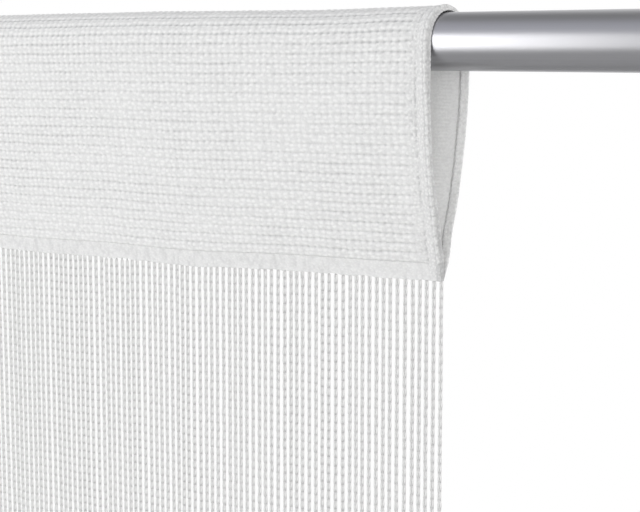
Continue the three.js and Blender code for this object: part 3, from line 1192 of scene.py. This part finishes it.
    def edge_painted_shade(self, rib: Array, wobble: Array) -> Array:
        """The painted shade on the selvedge: between its scallops, beside its cord, on its end face and low
        down.

        Args:
            rib: Steps round the pocket, in ribs.
            wobble: The unevenness of each point of the section at each step.

        Returns:
            The painted shade from 0 to 1, by step and point of the section.
        """
        inside, level, scalloped, _ = np.array(self.edge_section).T
        share = rib / self.shape.ribs
        up = rib - np.floor(rib)
        between_scallops = np.outer(hump(np.minimum(up, 1.0 - up), 0.12), scalloped)
        end_face = hump(level + 0.1, 0.6) * (inside < 1.1)
        beside_cord = hump(inside - 2.4, 0.3) * (level > 0.0)
        low = smooth_step(0.8, 0.95, share) + 0.6 * (1.0 - smooth_step(0.03, 0.12, share))
        foot = low[:, None] * (level < 0.5)
        hollow = self.between_dark * between_scallops + self.face_dark * end_face * (1.0 + 0.7 * wobble.T)
        return np.clip(hollow + self.cord_dark * beside_cord + self.foot_dark * foot, 0.0, 1.0)

    def selvedge(self, side: Side) -> Piece:
        """The fuller knitted edge: a scalloped cord outside, a finer one and a zigzag ridge inside.

        Args:
            side: The end of the curtain.

        Returns:
            The selvedge's object, a closed piece that the panel's end lies in.
        """
        section = np.array(self.edge_section)[:, :2]
        sides = len(section)
        rib = np.arange(self.shape.ribs * self.edge_steps + 1) / self.edge_steps
        wobble = SoftNoise(23 + side.value, (1.0, 0.9)).at(section[:, :1] * 3.0, rib[None, :])
        rings = self.edge_points(side, rib, wobble)
        drop = np.array(self.tail_shares)
        front_drawn, back_drawn = (side.value * drawn for drawn in self.tail_drawn)
        front_tail = self.tail(rings[0], drop, front_drawn)
        back_tail = self.tail(rings[-1], drop[::-1], back_drawn)
        rings = np.concatenate([front_tail, rings, back_tail])
        hollow = np.pad(self.edge_painted_shade(rib, wobble), ((len(drop), len(drop)), (0, 0)), mode="edge")
        if side is Side.LEFT:
            rings, hollow = rings[:, ::-1], hollow[:, ::-1]
        girth = np.cumsum(np.hypot(*np.diff(section, axis=0, prepend=section[:1]).T))
        tail = drop * self.tail_ribs
        length = np.concatenate([-tail, rib, self.shape.ribs + tail[::-1]]) * self.rib_pitch
        faces = ring_faces(len(rings), sides)
        behind_from = (len(drop) + int(len(rib) * self.behind_share)) * sides
        first_lip = sides - self.lip_points if side is Side.RIGHT else 0
        lip = set(range(first_lip, first_lip + self.lip_points))
        surface = Surface(
            points=rings.reshape(-1, 3),
            faces=faces,
            hollow=hollow.ravel(),
            cloth_place=np.stack(np.meshgrid(length, girth, indexing="ij"), axis=2).reshape(-1, 2),
            face_finish=[
                0 if min(face) < behind_from else 2 if {point % sides for point in face} <= lip else 1
                for face in faces
            ],
        )
        finishes = [self.finishes.selvedge, self.finishes.selvedge_behind, self.finishes.edge_thread]
        return surface.to_object(f"selvedge_{side.name.lower()}", finishes)

    def build(self) -> list[Piece]:
        """Makes the panels and the selvedges.

        Returns:
            The front corner, the front, the back and both selvedges.
        """
        first_corner = self.wales - self.corner_wales
        top, all_ribs = self.crest_ribs, self.shape.ribs
        return [
            self.panel("head_front_corner", (first_corner, self.wales), (0, top), Density.FINE),
            self.panel("head_front", (0, first_corner), (0, top), Density.PLAIN),
            self.panel("head_back", (0, self.wales), (top, all_ribs), Density.PLAIN),
            self.selvedge(Side.RIGHT),
            self.selvedge(Side.LEFT),
        ]


@dataclass
class SeamBand:
    """The plain knitted band below the seam, which the strings grow from, and the sewing line above it."""

    finishes: Finishes
    shape: HeadShape = field(default_factory=HeadShape)
    relief: KnitRelief = field(default_factory=KnitRelief)
    top_thickness: float = 2.9
    foot_thickness: float = 1.9
    thinner: float = 0.3
    overlap: float = 0.25
    end_gap: float = 0.4
    # Over this stretch from the ends the band gets thinner at its top, and rougher.
    fade: Pair = (20.0, 70.0)
    face_rows: int = 7
    steps_in_wale: int = 4
    foot_wave: float = 0.12
    foot_wander: float = 0.3
    foot_noise: SoftNoise = SoftNoise(31, (4.6, 1.0))
    ripple_height: float = 0.06
    roughness: float = 0.09
    more_roughness: float = 0.05
    face_noise: SoftNoise = SoftNoise(37, (1.1, 0.22))
    # Painted shade: the band is grey where its face is low, more so away from its ends, and grey at its very
    # ends.
    face_dark: float = 0.1
    face_dark_spread: float = 0.5
    dark_share: float = 0.4
    more_dark_share: float = 0.25
    end_dark: float = 0.6
    end_dark_reach: Pair = (2.5, 1.0)
    seam_end_gap: float = 2.0
    seam_sunk: float = 0.5
    seam_up: float = 0.12
    stitch_pitch: float = 3.2
    stitch_length: float = 2.7
    stitch_radius: float = 0.17
    stitch_bow: float = 0.3
    stitch_taper: float = 0.7

    def away(self, x: Array) -> Array:
        """How far from its ends the band has taken its middle's form, from 0 to 1."""
        return smooth_step(*self.fade, self.shape.from_end(x))

    def band(self) -> Piece:
        """The band, as one closed strip with a fine plain knit and an uneven lower edge.

        Returns:
            The band's object.
        """
        end = self.shape.half_width - self.shape.drawn_in - self.end_gap
        count = int(2.0 * end / self.relief.wale_pitch * self.steps_in_wale)
        x = np.linspace(-end, end, count + 1)
        down = np.linspace(0.0, 1.0, self.face_rows)
        wale = (x - self.relief.first_wale) / self.relief.wale_pitch
        top, foot = self.shape.seam(x) + self.overlap, self.shape.lower_edge(x)
        foot = foot - self.foot_wave * np.cos(2.0 * math.pi * wale)
        foot = foot - self.foot_wander * self.foot_noise.at(x, np.zeros_like(x))
        height = top[:, None] + (foot - top)[:, None] * down
        away = self.away(x)[:, None]
        top_thickness = self.top_thickness - self.thinner * away
        half = (top_thickness + (self.foot_thickness - top_thickness) * down) / 2.0
        rough = self.face_noise.at(x[:, None], down[None, :])
        ripple = self.ripple_height * np.cos(4.0 * math.pi * wale)[:, None]
        ripple = ripple + (self.roughness + self.more_roughness * away) * rough
        ripple = ripple - self.ripple_height * hump(down, 0.09)[None, :]
        across = np.broadcast_to(x[:, None], height.shape)
        front, back = (
            np.stack([across, facing * (half + ripple), height], axis=2) for facing in (-1.0, 1.0)
        )
        rings = np.concatenate([front, back[:, ::-1]], axis=1)
        girth = np.concatenate([down, 2.0 - down[::-1]]) * self.shape.band_height
        place = np.stack(np.meshgrid(x, girth, indexing="ij"), axis=2).reshape(-1, 2)
        # Painted shade where the face is low and at the band's very ends.
        at_end = smooth_step(*(end - reach for reach in self.end_dark_reach), np.abs(x))[:, None]
        dark = np.clip(self.face_dark - self.face_dark_spread * rough, 0.0, 1.0)
        dark = dark * (self.dark_share + self.more_dark_share * away) + self.end_dark * at_end
        surface = Surface(
            points=rings.reshape(-1, 3),
            faces=ring_faces(len(rings), rings.shape[1]),
            hollow=np.concatenate([dark, dark[:, ::-1]], axis=1).ravel(),
            cloth_place=place,
        )
        return surface.to_object("seam_band", [self.finishes.plain_knit])

    def seam_path(self, facing: int) -> Array:
        """The sewing line on one face of the head.

        Args:
            facing: -1 for the front face and 1 for the back one.

        Returns:
            Points along it, in millimetres.
        """
        end = self.shape.half_width - self.shape.drawn_in - self.seam_end_gap
        x = np.arange(-end, end, 2.0)
        sunk = self.seam_sunk * self.away(x) - 0.02
        depth = facing * (self.shape.seam_half_width + self.shape.thickness / 2.0 - sunk)
        return np.stack([x, depth, self.shape.seam(x) + self.seam_up], axis=1)

    def stitch(self) -> Piece:
        """One stitch of the sewing line, lying along X.

        Returns:
            The stitch, which the sewing line repeats.
        """
        angles = np.arange(4) * math.pi / 2.0
        rings = []
        for row in np.linspace(-0.5, 0.5, 4):
            bent = (2.0 * row) ** 4
            radius = self.stitch_radius * (1.0 - self.stitch_taper * bent)
            place, drop = row * self.stitch_length, self.stitch_bow * bent
            rings.append([(place, radius * math.cos(a), radius * math.sin(a) - drop) for a in angles])
        points = np.array(rings).reshape(-1, 3)
        surface = Surface(points=points, faces=ring_faces(len(rings), len(angles)))
        return surface.to_object("stitch_pattern", [self.finishes.seam_thread])

    def build(self) -> list[Piece]:
        """Makes the band and the sewing line.

        Returns:
            The band and the sewing line.
        """
        stitch = self.stitch()
        paths = [self.seam_path(facing) for facing in (-1, 1)]
        repeater = PathRepeater(pitch=self.stitch_pitch, sway=0.03, seed=4)
        seam = repeater.along("sewing_line", stitch, paths, self.finishes.seam_thread, upright=False)
        bpy.data.objects.remove(stitch)
        return [self.band(), seam]


@dataclass(frozen=True)
class PathRepeater:
    """Repeats a small mesh along paths, with a Geometry Nodes tree."""

    pitch: float
    sway: float
    seed: int
    turn: float = 0.0
    turn_spread: float = 0.0

    def tree(self, item: Piece, finish: Material, upright: bool) -> Tree:
        """Builds the tree.

        Args:
            item: The object that is repeated.
            finish: The material of the result.
            upright: Whether the item keeps its own upright, or turns to lie along the path.

        Returns:
            The tree, whose inputs are the paths, the pitch, the least and most turn, the sway and the seed.
        """
        tree = bpy.data.node_groups.new(f"repeat_{item.name}", "GeometryNodeTree")
        face = tree.interface
        numbers = dict.fromkeys(("Pitch", "Least turn", "Most turn", "Sway"), "Float")
        kinds = {"Geometry": "Geometry", **numbers, "Seed": "Int"}
        for name, kind in kinds.items():
            face.new_socket(name, in_out="INPUT", socket_type=f"NodeSocket{kind}")
        face.new_socket("Geometry", in_out="OUTPUT", socket_type="NodeSocketGeometry")
        given = add_node(tree, "NodeGroupInput").outputs
        curve = add_node(tree, "GeometryNodeMeshToCurve", {"Mesh": given["Geometry"]}).outputs["Curve"]
        spots = add_node(
            tree, "GeometryNodeCurveToPoints", {"Curve": curve, "Length": given["Pitch"]}, mode="LENGTH"
        )
        turn = add_node(
            tree, "FunctionNodeRandomValue",
            {"Min": given["Least turn"], "Max": given["Most turn"], "Seed": given["Seed"]},
            data_type="FLOAT",
        )
        turn_value = next(out for out in turn.outputs if out.enabled)
        turned = add_node(tree, "ShaderNodeCombineXYZ", {"Z": turn_value}).outputs["Vector"]
        rotation = add_node(tree, "FunctionNodeEulerToRotation", {"Euler": turned}).outputs["Rotation"]
        if not upright:
            rotation = add_node(
                tree, "FunctionNodeAlignRotationToVector", {"Vector": spots.outputs["Tangent"]}, axis="X"
            ).outputs["Rotation"]
        less_sway = add_node(
            tree, "ShaderNodeMath", {0: given["Sway"], 1: -1.0}, operation="MULTIPLY"
        ).outputs[0]
        shift = add_node(tree, "FunctionNodeRandomValue", {"Seed": given["Seed"]}, data_type="FLOAT_VECTOR")
        for limit, reach in (("Min", less_sway), ("Max", given["Sway"])):
            corner = add_node(tree, "ShaderNodeCombineXYZ", {"X": reach, "Y": reach, "Z": reach})
            bound = next(socket for socket in shift.inputs if socket.enabled and socket.name == limit)
            tree.links.new(corner.outputs["Vector"], bound)
        shift_value = next(out for out in shift.outputs if out.enabled)
        placed = add_node(
            tree, "GeometryNodeSetPosition", {"Geometry": spots.outputs["Points"], "Offset": shift_value}
        ).outputs["Geometry"]
        shown = add_node(tree, "GeometryNodeObjectInfo", {"Object": item}).outputs["Geometry"]
        copies = add_node(
            tree, "GeometryNodeInstanceOnPoints", {"Points": placed, "Instance": shown, "Rotation": rotation}
        ).outputs["Instances"]
        real = add_node(tree, "GeometryNodeRealizeInstances", {"Geometry": copies}).outputs["Geometry"]
        dressed = add_node(
            tree, "GeometryNodeSetMaterial", {"Geometry": real, "Material": finish}
        ).outputs["Geometry"]
        add_node(tree, "NodeGroupOutput", {"Geometry": dressed})
        return tree

    def along(
        self, name: str, item: Piece, paths: Sequence[Array], finish: Material, upright: bool = True
    ) -> Piece:
        """Repeats the item along every path.

        Args:
            name: The piece's name.
            item: The object that is repeated.
            paths: Each path's points in millimetres.
            finish: The material of the result.
            upright: Whether the item keeps its own upright, or turns to lie along the path.

        Returns:
            The piece, a plain mesh.
        """
        starts = np.cumsum([0] + [len(path) for path in paths])
        edges = [
            (int(start) + i, int(start) + i + 1)
            for start, path in zip(starts, paths)
            for i in range(len(path) - 1)
        ]
        lines = bpy.data.meshes.new(f"{name}_paths")
        lines.from_pydata((np.concatenate(paths) * METRES).tolist(), edges, [])
        carrier = bpy.data.objects.new(f"{name}_paths", lines)
        bpy.context.scene.collection.objects.link(carrier)
        tree = self.tree(item, finish, upright)
        modifier = carrier.modifiers.new("repeat", "NODES")
        modifier.node_group = tree
        values = {
            "Pitch": self.pitch * METRES,
            "Least turn": self.turn - self.turn_spread,
            "Most turn": self.turn + self.turn_spread,
            "Sway": self.sway * METRES,
            "Seed": self.seed,
        }
        for socket in tree.interface.items_tree:
            if socket.in_out == "INPUT" and socket.name in values:
                modifier[socket.identifier] = values[socket.name]
        graph = bpy.context.evaluated_depsgraph_get()
        mesh = bpy.data.meshes.new_from_object(carrier.evaluated_get(graph))
        mesh.name = name
        made = bpy.data.objects.new(name, mesh)
        bpy.context.scene.collection.objects.link(made)
        carrier.modifiers.remove(modifier)
        bpy.data.objects.remove(carrier)
        return made


@dataclass
class ChainStrings:
    """The strings: knitted chains that hang from the band, with their links modelled near the head."""

    finishes: Finishes
    shape: HeadShape = field(default_factory=HeadShape)
    count: int = 290
    inset: float = 2.6
    even_strings: int = 4
    foot: float = -1988.5
    groups: int = 3
    hanging_waves: tuple[Wave, ...] = (Wave(3.2, 410.0, 0.4), Wave(1.6, 150.0, 1.9))
    sideways_waves: tuple[Wave, ...] = (Wave(1.6, 690.0, 1.2), Wave(0.9, 260.0, 2.7))
    spacing_waves: tuple[Wave, ...] = (Wave(0.2, 31.0, 0.9), Wave(0.17, 14.4, 0.2))
    end_waves: tuple[Wave, ...] = (Wave(2.4, 67.0, 0.3), Wave(2.1, 17.0, 1.4))
    link_pitch: float = LINK_PITCH
    link_turn: float = 0.6
    link_turn_spread: float = 0.2
    link_sway: float = 0.05
    linked_length: float = 126.0
    # How far below the band a string's links begin, and how that varies by string and by group of strings.
    first_link: float = 1.5
    first_link_spread: float = 0.2
    first_link_noise: SoftNoise = SoftNoise(41, (1.3, 1.0))
    group_spread: float = 1.2
    group_size: float = 4.6
    group_noise: SoftNoise = SoftNoise(43, (0.7, 1.0))
    path_points: int = 9
    leg_radius: float = 0.48
    # The middle line of a link's right leg: sideways, depth, height, thickness and painted shade.
    leg_line: Table = (
        (0.27, -0.12, 1.75, 0.85, 0.4), (0.45, -0.32, -0.1, 1.0, 0.0), (0.33, 0.12, -1.95, 0.85, 1.0),
    )
    core_radius: float = 0.34
    core_back: float = -0.12
    # Painted shade on the core, where it runs inside the links.
    core_painted_shade: float = 0.15
    core_up: float = 0.6
    widening: float = 1.5
    length_radius: float = 0.8
    length_flatness: float = 0.9
    length_shares: tuple[float, ...] = (0.0, 0.2, 0.4, 0.6, 0.8, 0.995)
    cut_end_taper: float = 0.6

    def even_place(self, index: Array) -> Array:
        """Where strings hang along the rod if they are evenly spaced, by their numbers from the left."""
        half = self.shape.half_width - self.inset
        return -half + 2.0 * half * index / (self.count - 1)

    def cut_end(self, even: Array) -> Array:
        """The height of the cut ends of strings."""
        return self.foot + sum(wave.at(even) for wave in self.end_waves)

    def centre(self, index: Array, down: Array) -> Array:
        """Points on the middle lines of strings.

        Args:
            index: The strings' numbers, from the left.
            down: For each, how far below the band, in millimetres.

        Returns:
            One point for each.
        """
        even = self.even_place(index)
        inner = np.minimum(1.0, np.minimum(index, self.count - 1 - index) / self.even_strings)
        root = even + inner * sum(wave.at(even) for wave in self.spacing_waves)
        top = self.shape.lower_edge(root)
        share = down / (top - self.cut_end(even))
        sway = 1.6 * share - 0.6 * share * share
        return np.stack([
            root + sway * sum(wave.at(even) for wave in self.sideways_waves),
            sway * sum(wave.at(even) for wave in self.hanging_waves),
            top - down,
        ], axis=-1)

    def link(self) -> Piece:
        """One link of the chain: two legs of yarn, together at the top and parted above the next link.

        Returns:
            The link, which the chains repeat.
        """
        angles = np.array([45.0, 135.0, 225.0, 315.0]) * math.pi / 180.0
        points, faces, hollow = [], [], []
        for mirror in (1.0, -1.0):
            first = len(points)
            for side, depth, height, size, dark in self.leg_line:
                for angle in angles:
                    radius = self.leg_radius * size
                    points.append((
                        mirror * (side + radius * math.cos(angle)), depth - radius * math.sin(angle), height
                    ))
                    # Painted shade: the legs are greyer on their inner sides than their outer ones, most at
                    # their lower ends.
                    hollow.append(dark if math.cos(angle) < 0.0 else 0.3 * dark)
            made = ring_faces(len(self.leg_line), len(angles), first=first)
            faces += made if mirror > 0.0 else [face[::-1] for face in made]
        points = np.array(points)
        surface = Surface(
            points=points, faces=faces, hollow=np.array(hollow), cloth_place=points[:, [0, 2]]
        )
        return surface.to_object("link_pattern", [self.finishes.chain], sharp=180.0)

    def link_paths(self, indices: Array) -> list[Array]:
        """The middle lines of some strings' linked lengths, each begun at its own phase.

        Args:
            indices: The strings' numbers, from the left.

        Returns:
            Each string's points in millimetres.
        """
        paths = []
        for index in indices:
            group = np.floor(index / self.group_size)
            start = self.first_link + self.first_link_spread * self.first_link_noise.at(index, 0.0)
            start = start + self.group_spread * self.group_noise.at(group, 0.5)
            down = np.linspace(start, start + self.linked_length, self.path_points)
            paths.append(self.centre(np.full(len(down), float(index)), down))
        return paths

    def linked(self) -> list[Piece]:
        """The chains of links, in a few pieces from the left end to the right.

        Returns:
            The pieces.
        """
        link = self.link()
        pieces = []
        for number, indices in enumerate(np.array_split(np.arange(self.count), self.groups)):
            repeater = PathRepeater(
                self.link_pitch, self.link_sway, number, self.link_turn, self.link_turn_spread
            )
            name = f"string_chains_{number + 1}"
            pieces.append(repeater.along(name, link, self.link_paths(indices), self.finishes.chain))
        bpy.data.objects.remove(link)
        return pieces

    def lengths(self) -> Piece:
        """The yarn that runs inside the links, and below them the plain lengths of the strings.

        Returns:
            One piece for all the strings.
        """
        index = np.arange(self.count, dtype=float)
        even = self.even_place(index)
        whole = self.shape.lower_edge(even) - self.cut_end(even)
        widened = self.linked_length + self.widening
        # Each ring: how far down it lies, the share of the rest that is added to it, and its radius.
        rings = [(down, 0.0, self.core_radius) for down in (-self.core_up, self.linked_length)]
        rings += [(widened, share, self.length_radius) for share in self.length_shares]
        rings += [(widened, 1.0, self.length_radius * self.cut_end_taper)]
        core_shift = self.core_back * np.array([-math.sin(self.link_turn), math.cos(self.link_turn), 0.0])
        angles = np.arange(6) * math.pi / 3.0
        stack, hollow = [], []
        for down, share, radius in rings:
            centre = self.centre(index, down + share * (whole - down))
            core = radius == self.core_radius
            for angle in angles:
                depth = -radius * math.sin(angle) * self.length_flatness
                offset = np.array([radius * math.cos(angle), depth, 0.0])
                stack.append(centre + (offset + core_shift if core else offset))
                # The core inside the links gets painted shade.
                hollow.append(self.core_painted_shade if core else 0.0)
        points = np.stack(stack, axis=1)
        sides, rows = len(angles), len(rings)
        faces = []
        for k in range(self.count):
            faces += ring_faces(rows, sides, first=k * rows * sides)
        hollow = np.tile(np.array(hollow), self.count)
        surface = Surface(points=points.reshape(-1, 3), faces=faces, hollow=hollow)
        return surface.to_object("string_lengths", [self.finishes.chain_length])

    def build(self) -> list[Piece]:
        """Makes the linked chains and the plain lengths."""
        return [*self.linked(), self.lengths()]


@dataclass
class CurtainRod:
    """The rod: a plain round satin bar, its ends lightly rounded."""

    finishes: Finishes
    edge: float = 0.6
    sides: int = 192
    bend_steps: int = 5
    face_shares: tuple[float, ...] = (0.9, 0.5, 0.01)

    def build(self) -> list[Piece]:
        """Makes the rod to the size of its node in the frame.

        Returns:
            The rod alone.
        """
        _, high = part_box("rod")
        radius, half = high.z / METRES, high.x / METRES
        bend = np.linspace(0.0, math.pi / 2.0, self.bend_steps)
        inner, low_radius = half - self.edge, radius - self.edge
        end = [(inner + self.edge * math.sin(a), low_radius + self.edge * math.cos(a)) for a in bend]
        face = [(half, radius * share) for share in self.face_shares]
        right = [(half * 0.5, radius), *end, *face]
        profile = [(-x, r) for x, r in reversed(right)] + [(0.0, radius)] + right
        angles = np.arange(self.sides) * 2.0 * math.pi / self.sides
        rings = [[(x, r * math.cos(a), r * math.sin(a)) for a in angles] for x, r in profile]
        surface = Surface(points=np.array(rings).reshape(-1, 3), faces=ring_faces(len(rings), self.sides))
        return [surface.to_object("curtain_rod", [self.finishes.metal], sharp=35.0)]


@dataclass(frozen=True)
class Softbox:
    """A soft rectangular light that looks at the corner of the curtain."""

    name: str
    direction: Triple
    distance: float
    size: Pair
    radiance: float
    target: Triple = (0.4, 0.0, 0.0)

    def build(self) -> None:
        """Makes the light."""
        data = bpy.data.lights.new(self.name, "AREA")
        data.shape = "RECTANGLE"
        data.size, data.size_y = self.size
        data.energy = self.radiance * math.pi * self.size[0] * self.size[1]
        lamp = bpy.data.objects.new(self.name, data)
        away = Vector(self.direction).normalized()
        lamp.location = Vector(self.target) + away * self.distance
        lamp.rotation_euler = away.to_track_quat("Z", "Y").to_euler()
        bpy.context.scene.collection.objects.link(lamp)


@dataclass
class Studio:
    """A white studio: soft light from in front, a pale floor and the camera at the curtain's corner.

    Its lengths are in metres.
    """

    camera_place: Triple = (0.7388, -0.4426, -0.0027)
    camera_turn: float = 37.96
    camera_down: float = 7.71
    lens: float = 85.78
    sensor: float = 36.0
    floor_level: float = -2.03
    floor_radius: float = 2.6
    floor_thickness: float = 0.02
    floor_edge: float = 0.004
    floor_sides: int = 96
    floor_colour: str = "#BCBCBC"
    floor_roughness: Pair = (0.65, 0.8)
    surround: str = "#919191"
    # Towards the backdrop the surround is brighter: from where, fully where, and how much.
    backdrop_direction: Triple = (0.45, 0.89, 0.0)
    backdrop_gain: Triple = (0.12, 0.54, 4.2)
    # It is brighter on the left and on the right too.
    side_gains: Table = ((-0.48, -0.62, 1.3), (-0.1, 0.5, 2.2))
    glow_direction: Triple = (-0.51, -0.553, 0.659)
    glow_range: Pair = (0.84, 0.97)
    glow_colour: Triple = (0.36, 0.37, 0.44)
    softboxes: tuple[Softbox, ...] = (
        Softbox("key_softbox", (-0.562, -0.827, -0.02), 2.2, (1.0, 1.9), 4.65),
        Softbox("camera_softbox", (0.72, -0.69, 0.05), 2.2, (1.6, 1.8), 1.6),
    )

    def camera(self) -> None:
        """Makes the camera at the photograph's angle."""
        data = bpy.data.cameras.new("studio_camera")
        data.lens = self.lens
        data.sensor_width = self.sensor
        data.sensor_fit = "HORIZONTAL"
        camera = bpy.data.objects.new("studio_camera", data)
        camera.location = self.camera_place
        camera.rotation_euler = (math.radians(90.0 - self.camera_down), 0.0, math.radians(self.camera_turn))
        bpy.context.scene.collection.objects.link(camera)
        bpy.context.scene.camera = camera

    def world(self) -> None:
        """Makes the white surround that the camera sees, and the greyer one that lights the curtain."""
        world = bpy.data.worlds.new("white_studio")
        world.use_nodes = True
        bpy.context.scene.world = world
        tree = world.node_tree
        tree.nodes.clear()
        way = add_node(tree, "ShaderNodeTexCoord").outputs["Generated"]
        sideways = add_node(tree, "ShaderNodeSeparateXYZ", {"Vector": way}).outputs["X"]
        backwards = add_node(
            tree, "ShaderNodeVectorMath", {0: way, 1: self.backdrop_direction}, operation="DOT_PRODUCT"
        ).outputs["Value"]
        reaches = [(backwards, self.backdrop_gain), *((sideways, side) for side in self.side_gains)]
        gain, *others = [
            add_node(
                tree, "ShaderNodeMapRange",
                {"Value": reach, "From Min": begins, "From Max": whole, "To Min": 1.0, "To Max": most},
            ).outputs["Result"]
            for reach, (begins, whole, most) in reaches
        ]
        for other in others:
            gain = add_node(tree, "ShaderNodeMath", {0: gain, 1: other}, operation="MAXIMUM").outputs[0]
        plain = add_node(
            tree, "ShaderNodeVectorMath", {0: srgb(self.surround)[:3], "Scale": gain}, operation="SCALE"
        ).outputs["Vector"]
        toward = add_node(
            tree, "ShaderNodeVectorMath", {0: way, 1: self.glow_direction}, operation="DOT_PRODUCT"
        ).outputs["Value"]
        begins, whole = self.glow_range
        share = add_node(
            tree, "ShaderNodeMapRange", {"Value": toward, "From Min": begins, "From Max": whole}
        ).outputs["Result"]
        glow = add_node(
            tree, "ShaderNodeVectorMath", {0: self.glow_colour, "Scale": share}, operation="SCALE"
        ).outputs["Vector"]
        light = add_node(tree, "ShaderNodeVectorMath", {0: plain, 1: glow}, operation="ADD").outputs["Vector"]
        surround = add_node(tree, "ShaderNodeBackground", {"Color": light, "Strength": 1.0})
        white = add_node(tree, "ShaderNodeBackground", {"Color": (1.0, 1.0, 1.0, 1.0), "Strength": 1.0})
        seen = add_node(tree, "ShaderNodeLightPath").outputs["Is Camera Ray"]
        both = add_node(
            tree, "ShaderNodeMixShader", {0: seen, 1: surround.outputs[0], 2: white.outputs[0]}
        ).outputs[0]
        add_node(tree, "ShaderNodeOutputWorld", {"Surface": both})

    def floor(self) -> None:
        """Makes the pale floor, a thin round plate under the strings."""
        angles = np.arange(self.floor_sides) * 2.0 * math.pi / self.floor_sides
        radius, level = self.floor_radius, self.floor_level
        rings = [
            (radius, level - self.floor_thickness),
            (radius, level - self.floor_edge),
            (radius - self.floor_edge, level),
            (radius * 0.5, level),
            (0.01, level),
        ]
        points = np.array([[(r * math.cos(a), r * math.sin(a), z) for a in angles] for r, z in rings])
        finish, tree = empty_material("pale_floor_paint")
        place = add_node(tree, "ShaderNodeTexCoord").outputs["Object"]
        grain = add_node(tree, "ShaderNodeTexNoise", {"Vector": place, "Scale": 40.0}).outputs["Fac"]
        least, most = self.floor_roughness
        gloss = add_node(
            tree, "ShaderNodeMapRange", {"Value": grain, "To Min": least, "To Max": most}
        ).outputs["Result"]
        shader = add_node(
            tree, "ShaderNodeBsdfPrincipled", {"Base Color": srgb(self.floor_colour), "Roughness": gloss}
        ).outputs["BSDF"]
        add_node(tree, "ShaderNodeOutputMaterial", {"Surface": shader})
        points = points.reshape(-1, 3) / METRES
        surface = Surface(points=points, faces=ring_faces(len(rings), self.floor_sides))
        surface.to_object("studio_floor", [finish], sharp=35.0)

    def build(self) -> None:
        """Makes the camera, the lights, the surround and the floor."""
        self.camera()
        for softbox in self.softboxes:
            softbox.build()
        self.world()
        self.floor()
        bpy.context.scene.view_settings.view_transform = "Standard"


def dress(pieces: Sequence[Piece], node: str) -> None:
    """Makes pieces ride with the curtain and stand for a node of the frame.

    Args:
        pieces: The pieces.
        node: The node that they stand for.
    """
    for piece in pieces:
        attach(piece, BODY)
        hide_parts(node)
        piece.data.calc_loop_triangles()
        LOG.info("%s: %d triangles", piece.name, len(piece.data.loop_triangles))


def main() -> None:
    """Builds the curtain, its rod and the studio."""
    logging.basicConfig(level=logging.INFO, format="%(message)s")
    Studio().build()
    finishes = Finishes.make()
    rod = CurtainRod(finishes).build()
    dress(rod, "rod")
    head = KnittedHead(finishes)
    cloth = head.build()
    dress(cloth, "heading")
    band = SeamBand(finishes).build()
    dress(band, "string_fringe")
    strings = ChainStrings(finishes).build()
    dress(strings, "string_fringe")


if __name__ == "__main__":
    main()
